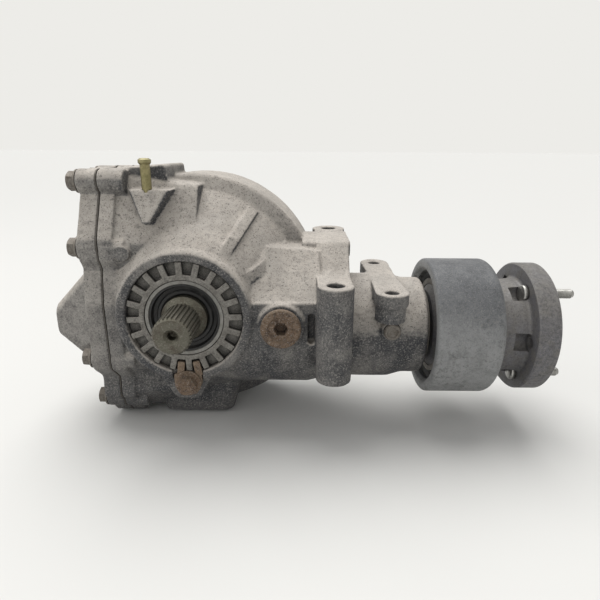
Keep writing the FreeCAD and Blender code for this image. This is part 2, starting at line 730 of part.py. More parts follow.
def shaft_snap_ring(far):
    """Snap ring that holds the shaft's end in the side gear."""
    inner = SNAP_GROOVE_R + FIT_GAP
    ring = tube(SNAP_RING_R, inner, V(0, 0, SNAP_RING_Z), Z_AXIS, SNAP_RING_W)
    gap = Part.makeBox(6.0, 3.0, SNAP_RING_W + 2.0, V(inner - 1.5, -1.5, SNAP_RING_Z - 1.0))
    return aimed(ring.cut(gap), V(0, DIFF_CENTRE_Y, 0), Y_AXIS if far else -Y_AXIS)


# Adjusters, seals and their locks
def bearing_adjuster():
    """Castellated adjuster up the Z axis, its face at Z = 0."""
    floor = -CASTELLATION_DEPTH
    base = rod(ADJUSTER_R, V(0, 0, -ADJUSTER_T), Z_AXIS, ADJUSTER_T + floor)
    collar = turned([(0, floor - 1), (ADJUSTER_COLLAR_R, floor - 1), (ADJUSTER_COLLAR_R, 0), (0, 0)],
                    ZERO, Z_AXIS, [0, 0, -0.6, 0])
    bar = Part.makeBox(2 * ADJUSTER_R + 4, CASTELLATION_W, CASTELLATION_DEPTH + 1,
                       V(-ADJUSTER_R - 2, -CASTELLATION_W / 2, floor - 1))
    bars = around(bar, ZERO, Z_AXIS, CASTELLATIONS, 90.0 + CASTELLATION_TURN)[:CASTELLATIONS // 2]
    rim = turned([(ADJUSTER_COLLAR_R - 1, floor - 1), (ADJUSTER_R, floor - 1), (ADJUSTER_R, -1.0),
                  (ADJUSTER_R - 1.0, 0), (ADJUSTER_COLLAR_R - 1, 0)], ZERO, Z_AXIS)
    ribs = Part.makeCompound(bars).common(rim)
    solid = base.multiFuse([collar] + ribs.Solids)
    bore = rod(SEAL_R + FIT_GAP, V(0, 0, -SEAL_T - SEAL_RECESS), Z_AXIS, SEAL_T + SEAL_RECESS + 1)
    shoulder = rod(SEAL_R - 3.0, V(0, 0, -ADJUSTER_T - 1), Z_AXIS, ADJUSTER_T + 2)
    return solid.cut(bore).cut(shoulder)


def on_side(shape, far):
    """Set a piece drawn up the Z axis on a side's adjuster face."""
    return aimed(shape, V(0, adjuster_face(far), 0), Y_AXIS if far else -Y_AXIS)


def seal_case(outer_r, rim_r, thickness, bore_r):
    """Pressed metal case of a shaft seal up the Z axis, its rim at Z = 0."""
    sheet = 1.6
    return turned([(outer_r, 0), (outer_r, -thickness), (bore_r, -thickness), (bore_r, -thickness + sheet),
                   (rim_r, -thickness + sheet), (rim_r, 0)], ZERO, Z_AXIS, [-0.5, -0.5, 0, 0, 0, -0.5])


def seal_lip(rim_r, thickness, shaft_r):
    """Rubber of a shaft seal: a dished face with a dust lip and the sealing lip."""
    top = -0.8
    lip_r = shaft_r + LIP_GAP
    floor = -thickness + 1.6 + FIT_GAP
    return turned([(rim_r - FIT_GAP, top), (rim_r - 1.4, top), (rim_r - 2.6, top - 3.2),
                   (lip_r + 4.4, top - 3.8),
                   (lip_r + 3.2, top - 2.4), (lip_r + 1.4, top - 2.4), (lip_r, top - 3.4),
                   (lip_r + 1.2, floor + 0.6),
                   (lip_r + 1.2, floor), (rim_r - FIT_GAP, floor)], ZERO, Z_AXIS)


def side_seal_cases():
    """Metal cases of both output seals."""
    case = moved(seal_case(SEAL_R, SEAL_RIM_R, SEAL_T, SHAFT_R + 5.0), V(0, 0, -SEAL_RECESS))
    return [on_side(case, far) for far in (False, True)]


def side_seal_lips():
    """Rubber of both output seals."""
    lip = moved(seal_lip(SEAL_RIM_R, SEAL_T, SHAFT_R), V(0, 0, -SEAL_RECESS))
    return [on_side(lip, far) for far in (False, True)]


def lock_seat_y(far):
    """Y of the pad on which a lock plate lies."""
    sign = 1 if far else -1
    return adjuster_face(far) - sign * (CASTELLATION_DEPTH - 2.0)


def lock_plate(far):
    """Plate with two fingers astride one castellation."""
    sign = 1 if far else -1
    seat = lock_seat_y(far)
    tip_z = -(ADJUSTER_COLLAR_R + 1.6)
    plate = prism(at_y(seat, [(-11, -46.5), (11, -46.5), (11, -55), (6, -64.5), (-6, -64.5), (-11, -55)]),
                  [1.5, 1.5, 3, 3, 3, 3], Y_AXIS * sign * LOCK_PLATE_T)
    pieces = [plate]
    for side in (-1, 1):
        angle = sign * CASTELLATION_TURN + side * FULL_TURN / CASTELLATIONS / 2
        finger = prism(at_y(seat, [(-LOCK_FINGER_W / 2, -48.5), (LOCK_FINGER_W / 2, -48.5),
                                   (LOCK_FINGER_W / 2, tip_z), (-LOCK_FINGER_W / 2, tip_z)]),
                       [0, 0, 1.0, 1.0], Y_AXIS * sign * LOCK_PLATE_T)
        pieces.append(about(finger, ZERO, Y_AXIS, angle))
    hole = rod(4.5, V(0, seat - sign, LOCK_BOLT_Z), Y_AXIS * sign, LOCK_PLATE_T + 2)
    return joined(pieces).cut(hole)


def lock_bolts():
    """Bolts of both lock plates."""
    bolt = flange_bolt(4.0, 17.0, 14.0, 8.5, 10.5, 2.4)
    placed = []
    for far in (False, True):
        sign = 1 if far else -1
        placed.append(aimed(bolt, V(0, lock_seat_y(far) + sign * LOCK_PLATE_T, LOCK_BOLT_Z), Y_AXIS * sign))
    return placed


# Input flange and damper
def at_pinion(x):
    """Point on the pinion axis."""
    return V(x, 0, -PINION_DROP)


def companion_flange():
    """Input flange with its hub, nut recess, stud holes and open holes."""
    start = TAIL_BEARING_X + TAIL_BEARING_W
    back_x = FLANGE_FACE_X - FLANGE_T
    recess_x = FLANGE_FACE_X - FLANGE_RECESS_DEPTH
    bore_r = PINION_SPLINE_R + FIT_GAP
    outline = [(bore_r, start), (FLANGE_NECK_R, start), (FLANGE_NECK_R, FLANGE_HUB_START_X - 1.5),
               (FLANGE_HUB_R - 6.0, FLANGE_HUB_START_X - 1.5), (FLANGE_HUB_R, FLANGE_HUB_START_X + 2.5),
               (FLANGE_HUB_R, FLANGE_HUB_END_X), (FLANGE_HUB_R + 3.0, FLANGE_HUB_END_X + 3.0),
               (FLANGE_HUB_R + 5.5, back_x), (FLANGE_R, back_x), (FLANGE_R, FLANGE_FACE_X),
               (FLANGE_RECESS_R, FLANGE_FACE_X), (FLANGE_RECESS_R, recess_x), (bore_r, recess_x)]
    radii = [0, -1.0, 0, 0, 0, 0, 0, 3.0, -1.2, -1.2, -1.0, 0, 0]
    flange = turned(outline, PINION_BASE, X_AXIS, radii)
    hole = rod(FLANGE_HOLE_R, V(back_x - 1, -FLANGE_PCD / 2, -PINION_DROP), X_AXIS, FLANGE_T + 2)
    stud_hole = rod(STUD_SHANK_R + FIT_GAP, V(back_x - 1, -FLANGE_PCD / 2, -PINION_DROP), X_AXIS,
                    FLANGE_T + 2)
    spot_face = rod(STUD_HEAD_R + 0.6, V(back_x - 12.0, -FLANGE_PCD / 2, -PINION_DROP), X_AXIS, 12.0)
    pattern = around(hole, PINION_BASE, X_AXIS, 3) + around(stud_hole, PINION_BASE, X_AXIS, 3, 60.0)
    pattern += around(spot_face, PINION_BASE, X_AXIS, 6)
    return flange.cut(Part.makeCompound(pattern))


def flange_studs():
    """Pressed studs that stand out of the flange's face."""
    back_x = FLANGE_FACE_X - FLANGE_T
    shank_x = FLANGE_FACE_X + STUD_SHANK_PROUD
    tip_x = FLANGE_FACE_X + STUD_LENGTH
    stud = turned([(0, back_x - STUD_HEAD_T), (STUD_HEAD_R, back_x - STUD_HEAD_T), (STUD_HEAD_R, back_x),
                   (STUD_SHANK_R, back_x), (STUD_SHANK_R, shank_x), (STUD_R, shank_x),
                   (STUD_R, tip_x - STUD_POINT_L - 0.5), (STUD_POINT_R, tip_x - STUD_POINT_L),
                   (STUD_POINT_R, tip_x), (0, tip_x)], V(0, -FLANGE_PCD / 2, -PINION_DROP), X_AXIS)
    return around(stud, PINION_BASE, X_AXIS, 3, 60.0)


def pinion_nut():
    """Self-locking nut with a crimped collar."""
    nut_x = FLANGE_FACE_X - FLANGE_RECESS_DEPTH + NUT_WASHER_T
    body = chamfered_hexagon(NUT_ACROSS, NUT_T - 4.0, 1.0)
    collar = rod(13.0, V(0, 0, NUT_T - 4.5), Z_AXIS, 4.5)
    nut = joined([body, collar]).cut(rod(PINION_THREAD_R + FIT_GAP, V(0, 0, -1), Z_AXIS, NUT_T + 2))
    return aimed(nut, at_pinion(nut_x), X_AXIS)


def pinion_nut_washer():
    """Thick washer under the pinion nut."""
    return tube(20.0, PINION_THREAD_R + 0.2, at_pinion(FLANGE_FACE_X - FLANGE_RECESS_DEPTH), X_AXIS,
                NUT_WASHER_T)


def pinion_shim():
    """Shim that sets the pinion's depth, behind its head."""
    return tube(26.5, HEAD_JOURNAL_R + FIT_GAP, at_pinion(HEAD_BEARING_X - SHIM_T), X_AXIS, SHIM_T)


def collapsible_spacer():
    """Crush sleeve between the pinion bearings, with its bellied middle."""
    start = HEAD_BEARING_X + HEAD_BEARING_W * CONE_SHARE
    end = TAIL_BEARING_X + TAIL_BEARING_W * (1 - CONE_SHARE)
    inner = HEAD_JOURNAL_R + 1.2
    sheet = 1.8
    belly = 5.0
    middle = (start + end) / 2
    outline = [(inner, start), (inner + sheet, start), (inner + sheet, middle - 10),
               (inner + sheet + belly, middle - 3),
               (inner + sheet + belly, middle + 3), (inner + sheet, middle + 10), (inner + sheet, end),
               (inner, end),
               (inner, middle + 10), (inner + belly, middle + 3), (inner + belly, middle - 3),
               (inner, middle - 10)]
    return turned(outline, PINION_BASE, X_AXIS)


def dust_slinger():
    """Pressed disc on the flange neck in front of the pinion seal."""
    x = NOSE_END_X + 0.6
    return turned([(FLANGE_NECK_R + FIT_GAP, x + 0.2), (31.0, x + 0.2), (32.5, x + 1.0), (33.0, x + 2.2),
                   (31.8, x + 2.4),
                   (30.6, x + 1.6), (FLANGE_NECK_R + 1.4, x + 1.6), (FLANGE_NECK_R + 1.4, x + 4.6),
                   (FLANGE_NECK_R + FIT_GAP, x + 4.6)], PINION_BASE, X_AXIS)


def damper_sleeve():
    """Steel sleeve pressed on the flange's hub."""
    length = DAMPER_RUBBER_W + 4.0
    x = DAMPER_X + (DAMPER_W - length) / 2
    return tube(DAMPER_SLEEVE_R, FLANGE_HUB_R + FIT_GAP, at_pinion(x + 1.2), X_AXIS, length)


def damper_rubber():
    """Rubber ring bonded between sleeve and inertia ring."""
    x = DAMPER_X + (DAMPER_W - DAMPER_RUBBER_W) / 2
    end = x + DAMPER_RUBBER_W
    mid_r = (DAMPER_SLEEVE_R + DAMPER_RING_INNER_R) / 2
    return turned([(DAMPER_SLEEVE_R, x), (mid_r, x + 2.5), (DAMPER_RING_INNER_R, x),
                   (DAMPER_RING_INNER_R, end),
                   (mid_r, end - 2.5), (DAMPER_SLEEVE_R, end)], PINION_BASE, X_AXIS)


def damper_ring():
    """Heavy outer ring of the damper."""
    end = DAMPER_X + DAMPER_W
    return turned([(DAMPER_RING_INNER_R, DAMPER_X + 4.0), (DAMPER_RING_INNER_R + 3.0, DAMPER_X),
                   (DAMPER_R, DAMPER_X), (DAMPER_R, end), (DAMPER_RING_INNER_R + 4.0, end),
                   (DAMPER_RING_INNER_R, end - 5.0)],
                  PINION_BASE, X_AXIS, [0, -1.0, 3.0, 6.0, -1.5, -1.0])


# Housing and cover castings
def mirrored_outline(near_half):
    """Full outline from the half on the near side, mirrored about the joint's middle."""
    far_half = [(2 * JOINT_MID_Y - y, z) for y, z in reversed(near_half)]
    return near_half + far_half


def joint_outline():
    """Outline of the cover joint in (y, z)."""
    return mirrored_outline([(-14, 109), (-40, 58), (-40, 43), (-35.5, 36), (-42, 6), (-42, -48),
                             (-27, -62), (-29, -80),
                             (-6, -107)])


def joint_opening():
    """Outline of the opening behind the cover in (y, z)."""
    return mirrored_outline([(2, 93), (-30, 42), (-33, 10), (-33, -44), (-17, -58), (-12, -70), (8, -93)])


def shrunk(outline, share):
    """Outline drawn in towards the joint's middle."""
    return [(JOINT_MID_Y + (y - JOINT_MID_Y) * share, z * share) for y, z in outline]


def cover_bolt_places():
    """Cover bolts in (y, z)."""
    near = [(-18, 100), (-31, 51), (-33, -41), (-14, -87)]
    return near + [(2 * JOINT_MID_Y - y, z) for y, z in near] + [(JOINT_MID_Y, 101), (JOINT_MID_Y, -100)]


def dowel_places():
    """Dowels of the cover joint in (y, z)."""
    return [(-36.5, 4), (2 * JOINT_MID_Y + 36.5, 4)]


def cover_bosses(x, length):
    """Round bosses under the cover bolts."""
    return [rod(COVER_BOSS_R, V(x, y, z), X_AXIS, length) for y, z in cover_bolt_places()]


def axle_shell():
    """Outside of the ring gear's drum, its cones and the bearing bosses."""
    near_face = adjuster_face(False) - BOSS_PROUD
    far_face = adjuster_face(True) + BOSS_PROUD
    ease = 2.0
    outline = [(0, near_face), (BOSS_R - ease, near_face), (BOSS_R, near_face + ease),
               (BOSS_R, near_face + 9.0),
               (BOSS_R + 8.0, near_face + 17.0), (DRUM_R - 12.0, DRUM_NEAR_Y - 7.0),
               (DRUM_R - ease, DRUM_NEAR_Y - 2.0),
               (DRUM_R, DRUM_NEAR_Y), (DRUM_R, DRUM_FAR_Y - 4.0), (DRUM_R - ease, DRUM_FAR_Y - 1.5),
               (DRUM_R - 7.0, DRUM_FAR_Y), (BOSS_R + 12.0, DRUM_FAR_Y + 7.0), (BOSS_R, DRUM_FAR_Y + 12.0),
               (BOSS_R, far_face - ease), (BOSS_R - ease, far_face), (0, far_face)]
    return turned(outline, ZERO, Y_AXIS, [0, 0, 0, 5.0, 8.0, 0, 0, 0, 0, 0, 0, 8.0, 0, 0, 0, 0])


def rear_body():
    """Casting between the cover joint and the drum."""
    outline = joint_outline()
    flange = prism(at_x(JOINT_X, outline), 6.0, X_AXIS * HOUSING_FLANGE_T)
    back = rounded_wire(at_x(JOINT_X + 6.0, shrunk(outline, 0.975)), 6.0)
    front = rounded_wire(at_x(8.0, shrunk(outline, 0.89)), 6.0)
    body = Part.makeLoft([back, front], True, True)
    crown = prism(at_y(-11.0, [(JOINT_X + 2, 90), (JOINT_X + 2, 109.0), (-17.0, 112.5), (-14.0, 90)]),
                  [0, 2.0, 2.0, 0],
                  Y_AXIS * 62.0)
    return [flange, body, crown] + cover_bosses(JOINT_X, HOUSING_FLANGE_T + 8.0)


def nose_shell():
    """Outside of the pinion's nose."""
    outline = [(0, 18.0), (ROOT_R, 18.0), (ROOT_R, 96.0), (NOSE_R, 116.0), (NOSE_R, 164.0),
               (NOSE_END_R, 176.0),
               (NOSE_END_R, NOSE_END_X - 1.5), (NOSE_END_R - 1.5, NOSE_END_X), (0, NOSE_END_X)]
    return turned(outline, PINION_BASE, X_AXIS, [0, 0, 12.0, 12.0, 8.0, 8.0, 0, 0, 0])


def side_web(sign):
    """Flat-faced web from the axle boss to the mount column, with its sloping shoulder."""
    reach = MOUNT_X - 10.0
    low, high = -25.0, 13.0
    face_y = 50.0
    lower = prism(at_y(sign * 8.0, [(44, low), (reach, low), (reach, high), (44, high)]), 3.0,
                  Y_AXIS * sign * (face_y - 8.0))
    foot = rounded_wire([V(40, sign * 49.0, high - 2), V(reach + 2, sign * 50.0, high - 2),
                         V(reach + 2, 0, high - 2),
                         V(40, 0, high - 2)], 1.5)
    crest = rounded_wire([V(62, sign * 18.0, 50), V(reach - 1, sign * 14.0, 46), V(reach - 1, 0, 46),
                          V(62, 0, 50)], 1.5)
    shoulder = Part.makeLoft([foot, crest], True, True)
    keel = Part.makeLoft([rounded_wire([V(40, sign * 49.0, low + 2), V(reach, sign * 49.0, low + 2),
                                        V(reach, 0, low + 2),
                                        V(40, 0, low + 2)], 1.5),
                          rounded_wire([V(30, sign * 24.0, -66), V(reach, sign * 24.0, -64),
                                        V(reach, 0, -64),
                                        V(30, 0, -66)], 1.5)], True, True)
    return [lower, shoulder, keel]


def mount_bridge():
    """Cross arm over the nose with a bolt column on each side."""
    half = 13.5
    near, far = -MOUNT_Y, MOUNT_Y
    seat = MOUNT_COLUMN_TOP_Z - 0.8
    profile = [(near, seat), (-26, seat), (-6, MOUNT_BRIDGE_Z), (far, MOUNT_BRIDGE_Z), (far, 6), (40, -34),
               (-40, -34),
               (near, -30)]
    arm = prism(at_x(MOUNT_X - half, profile), [0, 16, 5, 0, 0, 4, 4, 0], X_AXIS * 2 * half)
    pad = prism(at_x(MOUNT_X - 25.0, [(-6, 40), (-6, MOUNT_BRIDGE_Z), (46, MOUNT_BRIDGE_Z), (46, 40)]),
                [0, 4, 0, 0],
                X_AXIS * 40.0)
    near_column = rod(MOUNT_COLUMN_R, V(MOUNT_X, near, MOUNT_COLUMN_BOTTOM_Z), Z_AXIS,
                      MOUNT_COLUMN_TOP_Z - MOUNT_COLUMN_BOTTOM_Z)
    far_column = rod(MOUNT_COLUMN_R + 1.5, V(MOUNT_X, far, MOUNT_COLUMN_BOTTOM_Z), Z_AXIS,
                     MOUNT_BRIDGE_Z + 0.8 - MOUNT_COLUMN_BOTTOM_Z)
    far_web = prism(at_x(MOUNT_X - half + 2, [(30, -30), (far, -38), (far, 40), (30, 40)]), 0,
                    X_AXIS * 2 * (half - 2))
    near_web = prism(at_x(MOUNT_X - half + 2, [(-30, -30), (near, -38), (near, 24), (-30, 24)]), 0,
                     X_AXIS * 2 * (half - 2))
    return [arm, pad, near_column, far_column, far_web, near_web]


def nose_ears():
    """Flat ears on the nose with a bolt boss under each end."""
    plate = prism(at_z(EAR_TOP_Z - EAR_T, [(EAR_X - EAR_R, -EAR_Y), (EAR_X + EAR_R, -EAR_Y),
                                           (EAR_X + 11, 0),
                                           (EAR_X + EAR_R, EAR_Y), (EAR_X - EAR_R, EAR_Y),
                                           (EAR_X - 11, 0)]), 0,
                  Z_AXIS * EAR_T)
    pieces = [plate]
    for sign in (-1, 1):
        pieces.append(rod(EAR_R, V(EAR_X, sign * EAR_Y, EAR_TOP_Z - EAR_T), Z_AXIS, EAR_T))
        pieces.append(rod(EAR_R - 1.2, V(EAR_X, sign * (EAR_Y - 2), EAR_BOSS_BOTTOM_Z), Z_AXIS,
                          EAR_TOP_Z - EAR_BOSS_BOTTOM_Z - 2.0))
    pieces.append(turned([(0, 0), (7.6, 0), (9.0, 14.0), (0, 14.0)], V(EAR_X + 1.6, -51.0, -9.5), Y_AXIS))
    return pieces


def lock_lugs():
    """Lugs under the bearing bosses for the lock plates."""
    lugs = []
    for far in (False, True):
        sign = 1 if far else -1
        outline = [(-27, -43), (-11, -70), (8, -70), (22, -43), (19, -30), (-20, -30)]
        lugs.append(prism(at_y(lock_seat_y(far), outline), [3, 8, 8, 3, 0, 0], Y_AXIS * -sign * 24.0))
    return lugs


def cone_ribs():
    """Radial ribs from the near bearing boss up the cone."""
    ribs = []
    for angle in (31.0, 57.0):
        rib = prism([V(BOSS_R - 2, -44.0, 0), V(70.0, -31.5, 0), V(93.0, 4.0, 0), V(70.0, 6.0, 0),
                     V(BOSS_R - 2, -20.0, 0)], 0,
                    Z_AXIS * 9.0)
        ribs.append(about(moved(rib, V(0, 0, -4.5)), ZERO, Y_AXIS, -angle))
    return ribs


def breather_boss():
    """Flat-topped boss of the breather with its tapering gusset."""
    top = BREATHER_SEAT_Z
    upper = rounded_wire(at_z(top, [(BREATHER_X - 15, -27), (BREATHER_X + 19, -27), (BREATHER_X + 19, 4),
                                    (BREATHER_X - 15, 4)]), [5, 5, 1, 1])
    lower = rounded_wire(at_z(70.0, [(BREATHER_X - 2, -38), (BREATHER_X + 4, -38), (BREATHER_X + 4, 4),
                                     (BREATHER_X - 2, 4)]), [1, 1, 1, 1])
    return [Part.makeLoft([lower, upper], True, True)]


def plug_bosses():
    """Seat of the fill plug and the flat foot that holds the drain plug."""
    fill = turned([(0, 0), (17.5, 0), (18.5, 1.2), (19.5, 20.0), (0, 20.0)], V(FILL_X, FILL_FACE_Y, FILL_Z),
                  Y_AXIS)
    foot = Part.makeLoft([rounded_wire(at_z(DRAIN_PAD_Z, [(-36, -8), (28, -8), (28, 62), (-36, 62)]), 9.0),
                          rounded_wire(at_z(-70.0, [(-44, -14), (36, -14), (36, 66), (-44, 66)]), 9.0)],
                          True, True)
    return [fill, foot]


def axle_cavity():
    """Hollow round the ring gear, open to the cover."""
    inner_near = DRUM_NEAR_Y + 4.0
    outline = [(0, NEAR_BEARING_Y + SIDE_BEARING_W + 1.0), (56.0, NEAR_BEARING_Y + SIDE_BEARING_W + 1.0),
               (DRUM_R - 20.0, DRUM_NEAR_Y - 2.0), (DRUM_R - WALL - 5.0, inner_near),
               (DRUM_R - WALL, inner_near + 5.0),
               (DRUM_R - WALL, DRUM_FAR_Y - WALL), (56.0, DRUM_FAR_Y - 6.0), (0, DRUM_FAR_Y - 6.0)]
    drum = turned(outline, ZERO, Y_AXIS)
    opening = prism(at_x(JOINT_X - 1.0, joint_opening()), 8.0, X_AXIS * 58.0)
    carriers = [rod(49.0, V(0, NEAR_BEARING_Y - 20.0, 0), Y_AXIS, 20.0 + SIDE_BEARING_W),
                rod(49.0, V(0, FAR_BEARING_Y, 0), Y_AXIS, 40.0)]
    return drum.fuse(opening).cut(Part.makeCompound(carriers))


def axle_bores():
    """Bearing and adjuster bores through both bosses."""
    cuts = []
    for far in (False, True):
        sign = 1 if far else -1
        outer = abs(adjuster_face(far)) + BOSS_PROUD
        seat = outer - BOSS_PROUD - ADJUSTER_T
        inner = seat - SIDE_BEARING_W - 2.0
        cuts.append(turned([(0, inner), (SIDE_CUP_R, inner), (SIDE_CUP_R, seat),
                            (ADJUSTER_R + FIT_GAP, seat),
                            (ADJUSTER_R + FIT_GAP, outer - 0.8), (ADJUSTER_R + 0.8, outer + 0.2),
                            (0, outer + 0.2)],
                           ZERO, Y_AXIS * sign))
        cuts.append(Part.makeBox(24.0, 5.0, 24.0, V(-12.0, lock_seat_y(far) - (0.0 if far else 5.0),
                                                    -66.0)))
        cuts.append(rod(4.0, V(0, lock_seat_y(far) + sign, LOCK_BOLT_Z), Y_AXIS * -sign, 17.0))
    return cuts


def nose_bores():
    """Pinion pocket, bearing seats and seal seat along the nose."""
    head_end = HEAD_BEARING_X + HEAD_BEARING_W
    tail_end = TAIL_BEARING_X + TAIL_BEARING_W
    seal_x = NOSE_END_X - PINION_SEAL_T - 1.0
    outline = [(0, POCKET_X), (HEAD_CUP_R, POCKET_X), (HEAD_CUP_R, head_end), (NOSE_INNER_R, head_end),
               (NOSE_INNER_R, TAIL_BEARING_X), (TAIL_CUP_R, TAIL_BEARING_X),
               (TAIL_CUP_R, tail_end), (PINION_SEAL_R - 3.5, tail_end + 1.0), (PINION_SEAL_R - 3.5, seal_x),
               (PINION_SEAL_R, seal_x), (PINION_SEAL_R, NOSE_END_X + 1.0), (0, NOSE_END_X + 1.0)]
    return turned(outline, PINION_BASE, X_AXIS)


def housing_holes():
    """Bolt, dowel, plug and mount holes of the housing."""
    cuts = [rod(COVER_BOLT_R, V(JOINT_X - 1, y, z), X_AXIS, 17.0) for y, z in cover_bolt_places()]
    cuts += [rod(4.0, V(JOINT_X - 1, y, z), X_AXIS, 7.0) for y, z in dowel_places()]
    for sign in (-1, 1):
        top = MOUNT_COLUMN_TOP_Z if sign < 0 else MOUNT_BRIDGE_Z + 0.8
        cuts.append(rod(MOUNT_HOLE_R, V(MOUNT_X, sign * MOUNT_Y, MOUNT_COLUMN_BOTTOM_Z - 1), Z_AXIS,
                        top - MOUNT_COLUMN_BOTTOM_Z + 2))
        cuts.append(rod(EAR_HOLE_R, V(EAR_X, sign * EAR_Y, EAR_BOSS_BOTTOM_Z - 0.5), Z_AXIS, 30.0))
        cuts.append(rod(8.2, V(EAR_X, sign * EAR_Y, EAR_TOP_Z - 0.6), Z_AXIS, 5.0))
    cuts.append(rod(PLUG_THREAD_R, V(FILL_X, FILL_FACE_Y - 1, FILL_Z), Y_AXIS, 30.0))
    cuts.append(rod(PLUG_THREAD_R, V(0, 42.0, DRAIN_PAD_Z - 1), Z_AXIS, 22.0))
    cuts.append(rod(PLUG_R + 1.5, V(0, 42.0, DRAIN_PAD_Z - 1), Z_AXIS, PLUG_HEAD_T + PLUG_WASHER_T + 1.5))
    cuts.append(rod(BREATHER_PRESS_R, V(BREATHER_X, BREATHER_Y, BREATHER_SEAT_Z - 9.0), Z_AXIS, 12.0))
    cuts.append(rod(6.5, V(EAR_X + 1.6, -52.0, -9.5), Y_AXIS, 9.0))
    cuts.append(prism(at_y(-58.0, [(95.5, -21), (100.5, -21), (100.5, 4), (95.5, 4)]), 2.3, Y_AXIS * 16.0))
    cuts.append(rod(5.6, V(-46.5, -50.0, 48.5), Y_AXIS, 9.0))
    return cuts


def carrier_housing():
    """The main casting with everything that is cast or bored into it."""
    solids = [axle_shell(), nose_shell()] + rear_body() + side_web(-1) + side_web(1) + mount_bridge()
    solids += nose_ears() + lock_lugs() + cone_ribs() + breather_boss() + plug_bosses()
    casting = solids[0].multiFuse(solids[1:])
    behind = Part.makeBox(200.0, 400.0, 400.0, V(JOINT_X - 200.0, -200.0, -200.0))
    hollow = axle_cavity().fuse(nose_bores())
    casting = casting.cut(Part.makeCompound([behind])).cut(hollow)
    for cut in axle_bores():
        casting = casting.cut(cut)
    casting = casting.cut(Part.makeCompound(housing_holes()))
    return max(casting.Solids, key=lambda solid: solid.Volume)


def cover_joint_x():
    """Plane of the cover's joint face."""
    return JOINT_X - GASKET_T


def rear_cover():
    """Rear cover with its flange, ring gear dome and hollow rear bulge."""
    outline = joint_outline()
    face = cover_joint_x()
    back = face - COVER_FLANGE_T
    flange = prism(at_x(back, outline), 6.0, X_AXIS * COVER_FLANGE_T)
    dome = turned([(0, DRUM_NEAR_Y - 6.0), (DRUM_R - 8.0, DRUM_NEAR_Y - 6.0), (DRUM_R - 1.0, DRUM_NEAR_Y),
                   (DRUM_R - 1.0, DRUM_FAR_Y - 6.0), (DRUM_R - 10.0, DRUM_FAR_Y), (0, DRUM_FAR_Y)],
                  ZERO, Y_AXIS, [0, 4.0, 5.0, 8.0, 6.0, 0])
    bulge_foot = rounded_wire(at_x(back + 4.0, [(-32, 38), (62, 38), (62, -58), (-32, -58)]), 10.0)
    bulge_tip = rounded_wire(at_x(back - 38.0, [(-16, -2), (46, -2), (46, -32), (-16, -32)]), 10.0)
    bulge = Part.makeLoft([bulge_foot, bulge_tip], True, True)
    bulge = bulge.common(rod(60.0, V(-64.0, -60.0, -17.0), Y_AXIS, 140.0))
    pads = [rod(COVER_BOSS_R, V(back - 1.5, y, z), X_AXIS, COVER_FLANGE_T + 1.5) for y,
            z in cover_bolt_places()]
    solids = [flange, dome, bulge] + pads
    casting = solids[0].multiFuse(solids[1:])
    casting = casting.cut(Part.makeBox(400.0, 400.0, 400.0, V(face, -200.0, -200.0)))
    inner_drum = turned([(0, DRUM_NEAR_Y + 1.0), (DRUM_R - 16.0, DRUM_NEAR_Y + 1.0),
                         (DRUM_R - WALL - 1.0, DRUM_NEAR_Y + 7.0),
                         (DRUM_R - WALL - 1.0, DRUM_FAR_Y - WALL - 4.0), (DRUM_R - 18.0, DRUM_FAR_Y - WALL),
                         (0, DRUM_FAR_Y - WALL)], ZERO, Y_AXIS)
    pocket = prism(at_x(back + 6.0, joint_opening()), 8.0, X_AXIS * COVER_FLANGE_T)
    sump = Part.makeLoft([rounded_wire(at_x(back + 7.0, [(-24, 29), (54, 29), (54, -50), (-24, -50)]), 8.0),
                          rounded_wire(at_x(back - 29.0, [(-8, -8), (38, -8), (38, -26), (-8, -26)]), 6.0)],
                          True, True)
    casting = casting.cut(inner_drum.fuse(pocket).fuse(sump))
    holes = [rod(COVER_BOLT_R + 0.5, V(back - 5, y, z), X_AXIS, COVER_FLANGE_T + 8) for y,
             z in cover_bolt_places()]
    holes += [rod(4.0, V(face - 6, y, z), X_AXIS, 8.0) for y, z in dowel_places()]
    holes += [rod(COVER_BOSS_R + 0.5, V(back - 1.5, y, z), -X_AXIS, 40.0) for y, z in cover_bolt_places()]
    casting = casting.cut(Part.makeCompound(holes))
    return max(casting.removeSplitter().Solids, key=lambda solid: solid.Volume)


def cover_gasket():
    """Gasket of the cover joint."""
    sheet = prism(at_x(cover_joint_x(), joint_outline()), 6.0, X_AXIS * GASKET_T)
    ears = [rod(COVER_BOSS_R, V(cover_joint_x(), y, z), X_AXIS, GASKET_T) for y, z in cover_bolt_places()]
    sheet = sheet.multiFuse(ears)
    sheet = sheet.cut(prism(at_x(cover_joint_x() - 1, joint_opening()), 8.0, X_AXIS * (GASKET_T + 2)))
    holes = [rod(COVER_BOLT_R + 0.5, V(cover_joint_x() - 1, y, z), X_AXIS, GASKET_T + 2) for y,
             z in cover_bolt_places()]
    holes += [rod(4.2, V(cover_joint_x() - 1, y, z), X_AXIS, GASKET_T + 2) for y, z in dowel_places()]
    return sheet.cut(Part.makeCompound(holes))


def cover_bolts():
    """Bolts of the rear cover."""
    seat = cover_joint_x() - COVER_FLANGE_T - 1.5
    bolt = flange_bolt(COVER_BOLT_R, COVER_FLANGE_T + 14.0, 13.0, 8.0, 9.0, 2.0)
    return [aimed(bolt, V(seat, y, z), -X_AXIS) for y, z in cover_bolt_places()]


def cover_dowels():
    """Hollow dowels that locate the cover."""
    start = cover_joint_x() - 5.0
    return [tube(4.0 - FIT_GAP, 2.6, V(start, y, z), X_AXIS, 10.0) for y, z in dowel_places()]


